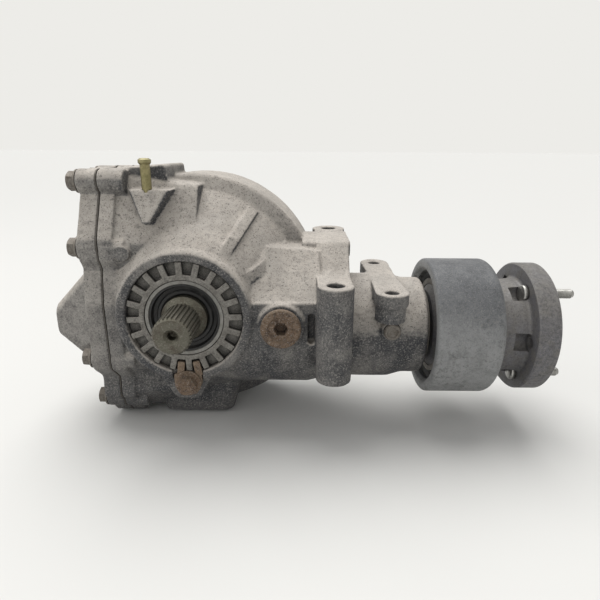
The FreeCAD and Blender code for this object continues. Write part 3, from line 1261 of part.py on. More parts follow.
# Plugs and breather
def threaded_plug():
    """Plug up the Z axis with a hexagonal socket, its seat at Z = 0."""
    head = turned([(0, 0), (PLUG_R, 0), (PLUG_R, PLUG_HEAD_T), (0, PLUG_HEAD_T)], ZERO, Z_AXIS,
                  [0, 0, -1.0, 0])
    thread = rod(PLUG_THREAD_R - FIT_GAP, V(0, 0, -11.0), Z_AXIS, 11.5)
    dish = turned([(0, PLUG_HEAD_T + 1), (11.0, PLUG_HEAD_T + 1), (9.0, PLUG_HEAD_T - 1.6),
                   (0, PLUG_HEAD_T - 1.6)],
                  ZERO, Z_AXIS)
    socket = moved(hexagon(PLUG_HEX_ACROSS, 9.0), V(0, 0, -5.5))
    return joined([head, thread]).cut(dish).cut(socket)


def plug_washers():
    """Sealing washers of both plugs."""
    washer = tube(PLUG_R - 0.5, PLUG_THREAD_R + 0.3, ZERO, Z_AXIS, PLUG_WASHER_T)
    fill = aimed(washer, V(FILL_X, FILL_FACE_Y, FILL_Z), -Y_AXIS)
    drain = aimed(washer, V(0, 42.0, DRAIN_PAD_Z + PLUG_HEAD_T + PLUG_WASHER_T + 0.5), -Z_AXIS)
    return [fill, drain]


def fill_plug():
    """Oil level plug in the near web."""
    return aimed(threaded_plug(), V(FILL_X, FILL_FACE_Y - PLUG_WASHER_T, FILL_Z), -Y_AXIS)


def drain_plug():
    """Drain plug sunk in the bottom pad."""
    return aimed(threaded_plug(), V(0, 42.0, DRAIN_PAD_Z + PLUG_HEAD_T + 0.5), -Z_AXIS)


def breather_nipple():
    """Pressed breather tube with a flared cap."""
    profile = [(0, -8.0), (BREATHER_PRESS_R - FIT_GAP, -8.0), (BREATHER_PRESS_R - FIT_GAP, 0),
               (BREATHER_R, 0), (BREATHER_R, 18.0), (BREATHER_R + 1.1, 19.5),
               (BREATHER_R + 1.1, 21.5), (BREATHER_R - 0.4, 22.6), (1.6, 22.6), (1.6, 8.0), (0, 8.0)]
    nipple = turned(profile, ZERO, Z_AXIS)
    return moved(nipple, V(BREATHER_X, BREATHER_Y, BREATHER_SEAT_Z))


def nose_side_plug():
    """Round plug in the side of the nose."""
    plug = turned([(0, -7.5), (6.5 - FIT_GAP, -7.5), (6.5 - FIT_GAP, 1.4), (5.6, 2.4), (4.4, 2.4),
                   (4.0, 1.6), (0, 1.6)],
                  ZERO, Z_AXIS)
    return aimed(plug, V(EAR_X + 1.6, -51.0, -9.5), -Y_AXIS)


def write(name, shapes):
    """Set pieces down in the flange's frame and write them as one node."""
    solids = shapes if isinstance(shapes, list) else [shapes]
    shape = solids[0] if len(solids) == 1 else Part.makeCompound(solids)
    shape = moved(shape, V(-FLANGE_FACE_X, 0, PINION_DROP))
    shape.exportStep("parts/" + name + ".step")
    box = shape.BoundBox
    print("%-26s solids %2d  volume %9.0f  %s  valid %s" % (
        name, len(shape.Solids), shape.Volume,
        "%.1f %.1f %.1f" % (box.XLength, box.YLength, box.ZLength), shape.isValid()))


def build():
    """Make every piece of the final drive."""
    os.makedirs("parts", exist_ok=True)
    write("carrier_housing", carrier_housing())
    write("rear_cover", rear_cover())
    write("cover_gasket", cover_gasket())
    write("cover_bolts", cover_bolts())
    write("cover_dowels", cover_dowels())
    write("bearing_adjuster_right", on_side(bearing_adjuster(), False))
    write("bearing_adjuster_left", on_side(bearing_adjuster(), True))
    write("lock_plates", [lock_plate(False), lock_plate(True)])
    write("lock_plate_bolts", lock_bolts())
    write("side_seal_cases", side_seal_cases())
    write("side_seal_lips", side_seal_lips())
    write("fill_plug", fill_plug())
    write("drain_plug", drain_plug())
    write("plug_washers", plug_washers())
    write("breather_nipple", breather_nipple())
    write("nose_side_plug", nose_side_plug())

    write("side_bearing_cups", side_bearing(bearing_cup, False) + side_bearing(bearing_cup, True))
    write("side_bearing_cones", side_bearing(bearing_cone, False) + side_bearing(bearing_cone, True))
    write("side_bearing_rollers", side_bearing(bearing_rollers, False, SIDE_ROLLERS)
          + side_bearing(bearing_rollers, True, SIDE_ROLLERS))
    write("side_bearing_cages", side_bearing(bearing_cage, False, SIDE_ROLLERS)
          + side_bearing(bearing_cage, True, SIDE_ROLLERS))
    write("diff_case", diff_case())
    write("ring_gear", ring_gear())
    write("ring_gear_bolts", ring_gear_bolts())
    write("cross_pin", cross_pin())
    write("cross_pin_lock", cross_pin_lock())
    write("side_thrust_washers", side_thrust_washers())
    write("mate_thrust_washers", mate_thrust_washers())
    for side, far in (("right", False), ("left", True)):
        write("side_gear_" + side, side_gear(far))
        write("output_shaft_" + side, output_shaft(far))
        write("shaft_snap_ring_" + side, shaft_snap_ring(far))
    write("pinion_mate_front", pinion_mate(False))
    write("pinion_mate_rear", pinion_mate(True))

    write("drive_pinion", drive_pinion())
    write("pinion_bearing_cups", pinion_bearing(bearing_cup, False) + pinion_bearing(bearing_cup, True))
    write("pinion_bearing_cones", pinion_bearing(bearing_cone, False) + pinion_bearing(bearing_cone, True))
    write("pinion_bearing_rollers", pinion_bearing(bearing_rollers, False, HEAD_ROLLERS)
          + pinion_bearing(bearing_rollers, True, TAIL_ROLLERS))
    write("pinion_bearing_cages", pinion_bearing(bearing_cage, False, HEAD_ROLLERS)
          + pinion_bearing(bearing_cage, True, TAIL_ROLLERS))
    write("pinion_shim", pinion_shim())
    write("collapsible_spacer", collapsible_spacer())
    write("pinion_seal_case", aimed(seal_case(PINION_SEAL_R, PINION_SEAL_R - 3.4, PINION_SEAL_T,
                                              FLANGE_NECK_R + 5.0),
                                    at_pinion(NOSE_END_X - 0.6), X_AXIS))
    write("pinion_seal_lip", aimed(seal_lip(PINION_SEAL_R - 3.4, PINION_SEAL_T, FLANGE_NECK_R),
                                   at_pinion(NOSE_END_X - 0.6), X_AXIS))
    write("companion_flange", companion_flange())
    write("flange_studs", flange_studs())
    write("pinion_nut", pinion_nut())
    write("pinion_nut_washer", pinion_nut_washer())
    write("dust_slinger", dust_slinger())
    write("damper_sleeve", damper_sleeve())
    write("damper_rubber", damper_rubber())
    write("damper_ring", damper_ring())


build()
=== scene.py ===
import json
import logging
import math
from dataclasses import dataclass, field
from enum import Enum
from typing import Any, Iterable, Optional, Sequence

import bmesh
import bpy
import numpy as np
from mathutils import Matrix, Vector, noise

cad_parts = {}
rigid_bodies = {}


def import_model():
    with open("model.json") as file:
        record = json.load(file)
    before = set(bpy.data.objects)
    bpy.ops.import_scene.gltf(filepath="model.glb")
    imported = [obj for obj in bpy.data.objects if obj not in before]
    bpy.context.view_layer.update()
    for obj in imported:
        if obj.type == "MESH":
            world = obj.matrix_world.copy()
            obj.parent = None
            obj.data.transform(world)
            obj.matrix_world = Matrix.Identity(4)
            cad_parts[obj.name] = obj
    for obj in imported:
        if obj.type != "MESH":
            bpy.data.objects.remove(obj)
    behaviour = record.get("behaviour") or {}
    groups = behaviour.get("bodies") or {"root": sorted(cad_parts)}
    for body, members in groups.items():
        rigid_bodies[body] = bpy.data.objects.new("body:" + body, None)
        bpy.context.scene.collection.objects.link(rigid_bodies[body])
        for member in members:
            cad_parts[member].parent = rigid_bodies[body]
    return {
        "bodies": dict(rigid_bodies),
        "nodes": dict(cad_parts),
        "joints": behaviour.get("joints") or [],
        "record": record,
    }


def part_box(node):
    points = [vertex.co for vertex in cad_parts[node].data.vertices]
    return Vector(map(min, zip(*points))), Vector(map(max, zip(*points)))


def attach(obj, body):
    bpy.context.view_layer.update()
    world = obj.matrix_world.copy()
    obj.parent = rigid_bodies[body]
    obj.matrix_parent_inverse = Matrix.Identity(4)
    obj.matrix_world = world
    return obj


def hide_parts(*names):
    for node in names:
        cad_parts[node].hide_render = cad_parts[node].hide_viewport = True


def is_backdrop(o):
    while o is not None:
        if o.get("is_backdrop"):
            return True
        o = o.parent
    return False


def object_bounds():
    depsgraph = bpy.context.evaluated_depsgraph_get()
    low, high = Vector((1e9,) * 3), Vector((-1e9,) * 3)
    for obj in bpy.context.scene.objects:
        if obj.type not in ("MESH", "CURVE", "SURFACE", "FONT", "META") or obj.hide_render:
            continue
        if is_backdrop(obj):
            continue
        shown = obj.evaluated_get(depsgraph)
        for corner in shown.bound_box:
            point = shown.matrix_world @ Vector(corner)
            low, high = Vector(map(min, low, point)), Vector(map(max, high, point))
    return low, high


log = logging.getLogger("final_drive")

MM = 0.001

# The photograph's camera, measured from the drive's own round parts.
CAMERA_PLACE_MM = (-200.5, -384.6, 146.7)
CAMERA_PITCH_DEG = 18.06
CAMERA_YAW_DEG = -0.26
CAMERA_ROLL_DEG = 0.37
CAMERA_FOCAL_PX = 464.1
CAMERA_CLIP_START_M = 0.01
FRAME_PX = 600
SENSOR_MM = 36.0

# Round foundry mark beside the right bearing boss, part of its depth sunk in the wall.
CAST_MARK_MM = (-337.7, -38.6, 70.2)
CAST_MARK_R_MM = 6.0
CAST_MARK_DEPTH_MM = 4.0

# Colour sockets of the mix node, whose names its other sockets share.
MIX_SHARE = 0
MIX_UNDER = 6
MIX_OVER = 7
MIX_RESULT = 2


class Axis(Enum):
    """Axis that turning marks run round."""

    PINION = (1.0, 0.0, 0.0)
    OUTPUT = (0.0, 1.0, 0.0)


def linear(hex_code: str) -> tuple[float, float, float, float]:
    """Turn an sRGB hex colour to linear values.

    Args:
        hex_code: Six hexadecimal digits after a #.

    Returns:
        Red, green and blue, each from 0 to 1, and full opacity.
    """
    digits = hex_code.lstrip("#")
    channels = []
    for start in (0, 2, 4):
        value = int(digits[start:start + 2], 16) / 255.0
        channels.append(value / 12.92 if value <= 0.04045 else ((value + 0.055) / 1.055) ** 2.4)
    return (channels[0], channels[1], channels[2], 1.0)


def per_metre(size_mm: float) -> float:
    """Texture scale that gives features of a size in millimetres."""
    return 1.0 / (size_mm * MM)


def add_node(
    tree: bpy.types.NodeTree,
    kind: str,
    links: Optional[dict[Any, Any]] = None,
    values: Optional[dict[Any, Any]] = None,
    **settings: Any,
) -> bpy.types.Node:
    """Add one node with its settings, socket values and incoming links.

    Args:
        tree: Node tree that takes the node.
        kind: Blender's name of the node type.
        links: Input socket to the output socket that feeds it.
        values: Input socket to its fixed value.
        **settings: Attributes of the node.

    Returns:
        The new node.
    """
    node = tree.nodes.new(kind)
    for name, setting in settings.items():
        setattr(node, name, setting)
    for key, value in (values or {}).items():
        node.inputs[key].default_value = value
    for key, source in (links or {}).items():
        tree.links.new(source, node.inputs[key])
    return node


def blend_colour(
    tree: bpy.types.NodeTree,
    amount: bpy.types.NodeSocket,
    under: bpy.types.NodeSocket,
    over_hex: str,
) -> bpy.types.NodeSocket:
    """Lay a colour over another by an amount.

    Args:
        tree: Node tree of the material.
        amount: Share of the upper colour.
        under: Colour below.
        over_hex: Colour above, as sRGB hex.

    Returns:
        The blended colour.
    """
    node = add_node(
        tree,
        "ShaderNodeMix",
        links={MIX_SHARE: amount, MIX_UNDER: under},
        values={MIX_OVER: linear(over_hex)},
        data_type="RGBA",
    )
    return node.outputs[MIX_RESULT]


def product(tree: bpy.types.NodeTree, first: Any, second: Any) -> bpy.types.NodeSocket:
    """Multiply two values, each a socket or a number."""
    node = add_node(tree, "ShaderNodeMath", operation="MULTIPLY")
    for index, value in enumerate((first, second)):
        if isinstance(value, (int, float)):
            node.inputs[index].default_value = value
        else:
            tree.links.new(value, node.inputs[index])
    return node.outputs[0]


@dataclass(frozen=True)
class Band:
    """Part of a value's range, eased over another range and held at its ends."""

    low: float
    high: float
    to_low: float = 0.0
    to_high: float = 1.0

    def of(self, tree: bpy.types.NodeTree, source: bpy.types.NodeSocket) -> bpy.types.NodeSocket:
        """Put a value through the band.

        Args:
            tree: Node tree of the material.
            source: Value to stretch.

        Returns:
            The stretched value.
        """
        node = add_node(
            tree,
            "ShaderNodeMapRange",
            links={0: source},
            values={1: self.low, 2: self.high, 3: self.to_low, 4: self.to_high},
            interpolation_type="SMOOTHSTEP",
        )
        return node.outputs[0]


# Where each layer shows, as parts of a noise that runs from 0 to 1.
STAINED = Band(0.42, 0.66)
DUSTY_PATCH = Band(0.25, 0.6, 0.6, 1.0)
FILM_PATCH = Band(0.3, 0.62, 0.45, 1.0)
GRIMY_PATCH = Band(0.3, 0.62, 0.35, 1.0)
GRIMY_SPOT = Band(0.46, 0.66)
DARK_SPECK = Band(0.54, 0.66)
PALE_SPECK = Band(0.47, 0.35)
BROKEN_WEAR = Band(0.35, 0.6)

# Where each layer shows, by how far the surface faces up: 1 is level, 0 upright and -1 downward.
SETTLED = Band(0.02, 0.75)
UPRIGHT = Band(0.30, 0.02)
DOWNWARD_SHADE = Band(0.25, -0.9, 0.55, 1.0)

# Painted shade darkens what lies under the pinion's height, in metres. Painted shade and dirt fill corners,
# and edges are rubbed.
SHADED_UNDERSIDE = Band(5.0 * MM, -55.0 * MM, 0.0, 0.8)
SHADED_CORNER = Band(0.75, 0.25)
SHARP_EDGE = Band(0.53, 0.62)


@dataclass(frozen=True)
class Surface:
    """What the layers of one metal finish are drawn from, each an output socket."""

    place: bpy.types.NodeSocket
    up: bpy.types.NodeSocket
    grain: bpy.types.NodeSocket
    stain: bpy.types.NodeSocket
    patch: bpy.types.NodeSocket
    spots: bpy.types.NodeSocket


@dataclass(frozen=True)
class WeatheredMetal:
    """Metal surface with grime, settled dust, worn edges and its own grain, with painted shade in its
    corners, on its upright faces and towards its bottom.

    The grain and patch sizes are real sizes in millimetres. The oil film starts at film_clean_mm along
    the drive and is full at film_full_mm, towards the input flange.
    """

    name: str
    base: str
    stain: str
    grime_and_shade: str
    dust: str
    worn: str
    metallic: float
    roughness: float
    roughness_less: float = 0.08
    roughness_more: float = 0.1
    grain_mm: float = 1.2
    grain_height_mm: float = 0.12
    grain_strength: float = 0.85
    stain_mm: float = 9.0
    spots_per_stain: float = 0.28
    patch_mm: float = 34.0
    stain_share: float = 0.5
    grime_and_under_shade_share: float = 0.5
    dust_share: float = 0.5
    speck_mm: float = 1.5
    speck_share: float = 0.0
    speck: str = "#9C9892"
    wear_share: float = 0.4
    corner_shade_mm: float = 7.0
    corner_shade_and_dirt_share: float = 0.6
    corner_shade_samples: int = 8
    oil_film_and_shade: str = "#3B3C40"
    oil_film_and_shade_share: float = 0.0
    film_clean_mm: float = -374.0
    film_full_mm: float = -325.0
    film_least: float = 0.35
    lathe: Optional[Axis] = None
    lathe_pitch_mm: float = 0.7
    lathe_share: float = 0.22

    def material(self) -> bpy.types.Material:
        """Build the material's node tree.

        Returns:
            The finished material.
        """
        made = bpy.data.materials.new(self.name)
        made.use_nodes = True
        tree = made.node_tree
        tree.nodes.clear()
        surface = self._surface(tree)
        bare = add_node(tree, "ShaderNodeRGB")
        bare.outputs[0].default_value = linear(self.base)
        colour = self._stain_and_dust(tree, surface, bare.outputs[0])
        if self.oil_film_and_shade_share:
            colour = self._oil_film_and_painted_shade(tree, surface, colour)
        colour = self._grime_and_under_shade(tree, surface, colour)
        if self.speck_share:
            colour = self._specks(tree, surface, colour)
        colour = self._corner_shade_and_worn_edges(tree, surface, colour)
        glossiest = self.roughness - self.roughness_less
        dullest = min(1.0, self.roughness + self.roughness_more)
        dull = Band(0.3, 0.7, glossiest, dullest)
        shader = add_node(
            tree,
            "ShaderNodeBsdfPrincipled",
            links={
                "Base Color": colour,
                "Roughness": dull.of(tree, surface.stain),
                "Normal": self._relief(tree, surface),
            },
            values={"Metallic": self.metallic},
        )
        add_node(tree, "ShaderNodeOutputMaterial", links={0: shader.outputs[0]})
        return made

    def _surface(self, tree: bpy.types.NodeTree) -> Surface:
        """Make the noises and directions that the layers share."""
        place = add_node(tree, "ShaderNodeTexCoord")
        at = place.outputs["Object"]
        facing = add_node(tree, "ShaderNodeSeparateXYZ", links={0: place.outputs["Normal"]})
        return Surface(
            place=at,
            up=facing.outputs["Z"],
            grain=self._noise(tree, at, self.grain_mm, detail=5.0, rough=0.65),
            stain=self._noise(tree, at, self.stain_mm, detail=9.0, rough=0.62),
            patch=self._noise(tree, at, self.patch_mm, detail=4.0, rough=0.55),
            spots=self._noise(tree, at, self.stain_mm * self.spots_per_stain, detail=6.0, rough=0.7),
        )

    def _noise(
        self, tree: bpy.types.NodeTree, at: bpy.types.NodeSocket, size_mm: float, detail: float, rough: float
    ) -> bpy.types.NodeSocket:
        """Noise of a real feature size."""
        node = add_node(
            tree,
            "ShaderNodeTexNoise",
            links={"Vector": at},
            values={"Scale": per_metre(size_mm), "Detail": detail, "Roughness": rough, "Distortion": 0.25},
        )
        return node.outputs[0]

    def _stain_and_dust(
        self, tree: bpy.types.NodeTree, surface: Surface, under: bpy.types.NodeSocket
    ) -> bpy.types.NodeSocket:
        """Stain the bare metal and let dust settle on what faces up."""
        stained = product(tree, STAINED.of(tree, surface.stain), self.stain_share)
        colour = blend_colour(tree, stained, under, self.stain)
        settled = product(tree, SETTLED.of(tree, surface.up), DUSTY_PATCH.of(tree, surface.patch))
        return blend_colour(tree, product(tree, settled, self.dust_share), colour, self.dust)

    def _oil_film_and_painted_shade(
        self, tree: bpy.types.NodeTree, surface: Surface, under: bpy.types.NodeSocket
    ) -> bpy.types.NodeSocket:
        """Darken upright surfaces with an oily film and painted shade, with more of the film towards the
        input end, and paint shade on low surfaces.
        """
        parts = add_node(tree, "ShaderNodeSeparateXYZ", links={0: surface.place})
        reach = Band(self.film_clean_mm * MM, self.film_full_mm * MM, self.film_least, 1.0)
        # Oil film and painted shade: upright faces darken, more of it towards the input flange.
        along = product(tree, UPRIGHT.of(tree, surface.up), reach.of(tree, parts.outputs["X"]))
        oil_film_and_shade = product(tree, along, FILM_PATCH.of(tree, surface.patch))
        # Painted shade: darker towards the bottom.
        low = SHADED_UNDERSIDE.of(tree, parts.outputs["Z"])
        both = add_node(tree, "ShaderNodeMath", links={0: oil_film_and_shade, 1: low}, operation="MAXIMUM")
        return blend_colour(tree, product(tree, both.outputs[0], self.oil_film_and_shade_share), under, self.oil_film_and_shade)

    def _grime_and_under_shade(
        self, tree: bpy.types.NodeTree, surface: Surface, under: bpy.types.NodeSocket
    ) -> bpy.types.NodeSocket:
        """Spot the surface with grime, with painted shade making the spots strongest where the surface faces
        down.
        """
        spots = product(tree, GRIMY_SPOT.of(tree, surface.spots), GRIMY_PATCH.of(tree, surface.patch))
        # Painted shade: downward faces take the most grime.
        spots = product(tree, spots, DOWNWARD_SHADE.of(tree, surface.up))
        return blend_colour(tree, product(tree, spots, self.grime_and_under_shade_share), under, self.grime_and_shade)

    def _specks(
        self, tree: bpy.types.NodeTree, surface: Surface, under: bpy.types.NodeSocket
    ) -> bpy.types.NodeSocket:
        """Pepper the surface with dark and pale grains."""
        speck = self._noise(tree, surface.place, self.speck_mm, detail=3.0, rough=0.8)
        colour = under
        for band, grain_hex in ((DARK_SPECK, self.grime_and_shade), (PALE_SPECK, self.speck)):
            shown = product(tree, band.of(tree, speck), self.speck_share)
            colour = blend_colour(tree, shown, colour, grain_hex)
        return colour

    def _corner_shade_and_worn_edges(
        self, tree: bpy.types.NodeTree, surface: Surface, under: bpy.types.NodeSocket
    ) -> bpy.types.NodeSocket:
        """Paint shade, and dirt with it, into the corners and rub the edges to bare metal."""
        # Ambient occlusion paints shade into corners and creases; the same layer also stands for dirt packed
        # there.
        corner_occlusion = add_node(
            tree,
            "ShaderNodeAmbientOcclusion",
            values={"Distance": self.corner_shade_mm * MM},
            samples=self.corner_shade_samples,
        )
        corner_shade_and_dirt = product(tree, SHADED_CORNER.of(tree, corner_occlusion.outputs["AO"]), self.corner_shade_and_dirt_share)
        colour = blend_colour(tree, corner_shade_and_dirt, under, self.grime_and_shade)
        shape = add_node(tree, "ShaderNodeNewGeometry")
        rubbed = product(
            tree, SHARP_EDGE.of(tree, shape.outputs["Pointiness"]), BROKEN_WEAR.of(tree, surface.spots)
        )
        return blend_colour(tree, product(tree, rubbed, self.wear_share), colour, self.worn)

    def _relief(self, tree: bpy.types.NodeTree, surface: Surface) -> bpy.types.NodeSocket:
        """Raise the grain, and the turning marks where the piece has them."""
        height = add_node(
            tree, "ShaderNodeMath", links={0: surface.grain, 1: surface.spots}, operation="ADD"
        ).outputs[0]
        if self.lathe:
            height = self._lathe_marks(tree, surface.place, height)
        bump = add_node(
            tree,
            "ShaderNodeBump",
            links={"Height": height},
            values={"Strength": self.grain_strength, "Distance": self.grain_height_mm * MM},
        )
        return bump.outputs[0]

    def _lathe_marks(
        self, tree: bpy.types.NodeTree, at: bpy.types.NodeSocket, under: bpy.types.NodeSocket
    ) -> bpy.types.NodeSocket:
        """Add turning marks round an axis to a height.

        Args:
            tree: Node tree of the material.
            at: Object coordinates.
            under: Height so far.

        Returns:
            The height with the marks.
        """
        keep = tuple(1.0 - part for part in self.lathe.value)
        flat = add_node(tree, "ShaderNodeVectorMath", links={0: at}, values={1: keep}, operation="MULTIPLY")
        radius = add_node(tree, "ShaderNodeVectorMath", links={0: flat.outputs[0]}, operation="LENGTH")
        turn = product(tree, radius.outputs["Value"], 2 * math.pi * per_metre(self.lathe_pitch_mm))
        wave = add_node(tree, "ShaderNodeMath", links={0: turn}, operation="SINE")
        marks = product(tree, wave.outputs[0], self.lathe_share)
        both = add_node(tree, "ShaderNodeMath", links={0: under, 1: marks}, operation="ADD")
        return both.outputs[0]


@dataclass(frozen=True)
class MouldedRubber:
    """Black nitrile rubber, moulded: matt, faintly grainy, grey where dust clings."""

    name: str
    base: str = "#151515"
    dust: str = "#3A3835"
    cloud_mm: float = 6.0
    grain_mm: float = 0.8
    grain_height_mm: float = 0.05
    grain_strength: float = 0.5
    dusty: Band = Band(0.45, 0.75, 0.0, 0.6)
    roughness: Band = Band(0.3, 0.7, 0.45, 0.7)

    def material(self) -> bpy.types.Material:
        """Build the material's node tree.

        Returns:
            The finished material.
        """
        made = bpy.data.materials.new(self.name)
        made.use_nodes = True
        tree = made.node_tree
        tree.nodes.clear()
        place = add_node(tree, "ShaderNodeTexCoord")
        cloud = add_node(
            tree,
            "ShaderNodeTexNoise",
            links={"Vector": place.outputs["Object"]},
            values={"Scale": per_metre(self.cloud_mm), "Detail": 6.0},
        )
        grain = add_node(
            tree,
            "ShaderNodeTexNoise",
            links={"Vector": place.outputs["Object"]},
            values={"Scale": per_metre(self.grain_mm), "Detail": 3.0},
        )
        clean = add_node(tree, "ShaderNodeRGB")
        clean.outputs[0].default_value = linear(self.base)
        colour = blend_colour(tree, self.dusty.of(tree, cloud.outputs[0]), clean.outputs[0], self.dust)
        bump = add_node(
            tree,
            "ShaderNodeBump",
            links={"Height": grain.outputs[0]},
            values={"Strength": self.grain_strength, "Distance": self.grain_height_mm * MM},
        )
        shader = add_node(
            tree,
            "ShaderNodeBsdfPrincipled",
            links={
                "Base Color": colour,
                "Roughness": self.roughness.of(tree, cloud.outputs[0]),
                "Normal": bump.outputs[0],
            },
        )
        add_node(tree, "ShaderNodeOutputMaterial", links={0: shader.outputs[0]})
        return made


class Finishes:
    """The finishes of the drive, each made once and handed out by the record's slot name."""

    def __init__(self) -> None:
        """Build every material."""
        # Sand-cast aluminium alloy: pale and dusty where it faces up, charcoal with oil and painted shade
        # where it stands upright, darkened by painted shade low down, peppered with light sand grains. The
        # grain is drawn 1.5 mm coarse so that it shows.
        cast = WeatheredMetal(
            name="sand_cast_aluminium", base="#99958F", stain="#7A7672", grime_and_shade="#2B2B2D", dust="#C3BBB1",
            worn="#D0CBC4", metallic=0.2, roughness=0.74, grain_mm=1.5, grain_height_mm=0.45, stain_mm=14.0,
            stain_share=0.7, grime_and_under_shade_share=0.6, dust_share=0.9, speck_mm=1.35, speck_share=0.75, wear_share=0.8,
            corner_shade_and_dirt_share=0.4, oil_film_and_shade="#2F3238", oil_film_and_shade_share=0.92, film_least=0.22,
        )
        # Grey iron, cast and turned: grey like its housing, with dirt and painted shade packed in its
        # pockets.
        iron = WeatheredMetal(
            name="grey_cast_iron", base="#827F79", stain="#67635D", grime_and_shade="#222221", dust="#A9A39A",
            worn="#B9B3A9", metallic=0.3, roughness=0.7, grain_mm=1.1, grain_height_mm=0.18, stain_mm=7.0,
            stain_share=0.6, grime_and_under_shade_share=0.7, dust_share=0.7, speck_mm=1.2, speck_share=0.5, corner_shade_mm=10.0,
            corner_shade_and_dirt_share=1.0,
        )
        # Carbon steel left bare outdoors: dull brown rust with darker scale and rubbed lighter spots.
        rust = WeatheredMetal(
            name="rusted_carbon_steel", base="#725E4C", stain="#4E4037", grime_and_shade="#26211D", dust="#857461",
            worn="#A3927D", metallic=0.2, roughness=0.82, grain_mm=1.0, grain_height_mm=0.25, stain_mm=4.0,
            stain_share=0.9, grime_and_under_shade_share=0.7, dust_share=0.5, speck_mm=1.1, speck_share=0.6, corner_shade_mm=4.0,
            corner_shade_and_dirt_share=0.85,
        )
        # Zinc-plated steel turned yellow-olive by age, darker where it has been handled.
        zinc = WeatheredMetal(
            name="aged_zinc_plating", base="#8F8763", stain="#6F6A45", grime_and_shade="#34301F", dust="#A59D7A",
            worn="#C4BE9E", metallic=0.7, roughness=0.4, grain_mm=0.8, grain_height_mm=0.05, stain_mm=5.0,
            stain_share=0.6, grime_and_under_shade_share=0.5, dust_share=0.3, corner_shade_mm=2.0,
        )
        # Fresh zinc plating on the studs' threads: silver with dark roots.
        bright = WeatheredMetal(
            name="bright_zinc_plating", base="#A9A8A4", stain="#8B8984", grime_and_shade="#33312E", dust="#B5B3AE",
            worn="#D2D0CC", metallic=0.85, roughness=0.34, grain_mm=0.7, grain_height_mm=0.04, stain_mm=4.0,
            stain_share=0.5, grime_and_under_shade_share=0.5, dust_share=0.1, corner_shade_mm=1.5, corner_shade_and_dirt_share=0.9,
        )
        # Dull plated steel: grey-brown film with a metallic edge.
        dull = WeatheredMetal(
            name="dull_plated_steel", base="#6A655E", stain="#564C42", grime_and_shade="#262422", dust="#938B81",
            worn="#A9A39A", metallic=0.4, roughness=0.6, grain_mm=0.9, grain_height_mm=0.12, stain_mm=5.0,
            stain_share=0.6, grime_and_under_shade_share=0.7, dust_share=0.6, speck_mm=1.2, speck_share=0.35, corner_shade_mm=3.0,
        )
        # Turned carbon steel, dulled by oil: an even grey with a soft shine.
        turned = WeatheredMetal(
            name="turned_steel", base="#7F7E7A", stain="#6A6762", grime_and_shade="#34312D", dust="#8E8A84",
            worn="#B4B2AE", metallic=0.8, roughness=0.42, grain_mm=0.8, grain_height_mm=0.05, stain_mm=5.0,
            stain_share=0.6, grime_and_under_shade_share=0.6, dust_share=0.2, corner_shade_mm=2.0,
        )
        # Induction-hardened shaft: dark olive-grey, stained by oil, brown between the splines, with fine
        # rings from the tool.
        shaft = WeatheredMetal(
            name="oiled_shaft_steel", base="#58564B", stain="#473F35", grime_and_shade="#211E19", dust="#6E6A5C",
            worn="#98938A", metallic=0.6, roughness=0.44, grain_mm=0.9, grain_height_mm=0.07, stain_mm=5.0,
            stain_share=0.8, grime_and_under_shade_share=0.6, dust_share=0.35, speck_mm=1.1, speck_share=0.3, corner_shade_mm=2.5,
            corner_shade_and_dirt_share=0.85, lathe=Axis.OUTPUT, lathe_pitch_mm=0.8,
        )
        # Forged steel with a thin dark coat under dust: charcoal, rubbed black on its rim.
        forged = WeatheredMetal(
            name="dark_coated_forging", base="#6A696C", stain="#74716C", grime_and_shade="#202022", dust="#85817A",
            worn="#2B2A2C", metallic=0.3, roughness=0.55, grain_mm=1.0, grain_height_mm=0.1, stain_mm=9.0,
            stain_share=0.7, grime_and_under_shade_share=0.6, dust_share=0.5, speck_mm=1.1, speck_share=0.3, wear_share=0.6,
            corner_shade_mm=5.0, lathe=Axis.PINION, lathe_pitch_mm=0.9,
        )
        # Grey iron ring dipped in matt black paint: grey on its side, darker where it faces up, black on its
        # edges.
        dipped = WeatheredMetal(
            # On this ring the up-facing layer darkens the top rather than greying it.
            name="dipped_iron_ring", base="#868787", stain="#757676", grime_and_shade="#1E1F21", dust="#45474B",
            worn="#212225", metallic=0.1, roughness=0.58, grain_mm=1.2, grain_height_mm=0.1, stain_mm=12.0,
            stain_share=0.7, grime_and_under_shade_share=0.6, dust_share=0.75, speck_mm=1.0, speck_share=0.35, wear_share=0.9,
            corner_shade_mm=4.0,
        )
        # Case-hardened gear steel, oiled: dark grey with a soft shine.
        gear = WeatheredMetal(
            name="case_hardened_steel", base="#5B5B5C", stain="#4A4845", grime_and_shade="#25231F", dust="#6C6A66",
            worn="#A9A8A5", metallic=0.85, roughness=0.34, grain_mm=0.8, grain_height_mm=0.04, stain_mm=7.0,
            stain_share=0.5, grime_and_under_shade_share=0.3, dust_share=0.0, corner_shade_mm=2.0,
        )
        # Ground bearing steel: the brightest surface of all.
        ground = WeatheredMetal(
            name="ground_bearing_steel", base="#A8A8A7", stain="#93908A", grime_and_shade="#4A463F", dust="#A8A8A7",
            worn="#D0CFCC", metallic=0.95, roughness=0.24, grain_mm=0.7, grain_height_mm=0.02, stain_mm=8.0,
            stain_share=0.3, grime_and_under_shade_share=0.2, dust_share=0.0, corner_shade_mm=2.0,
        )
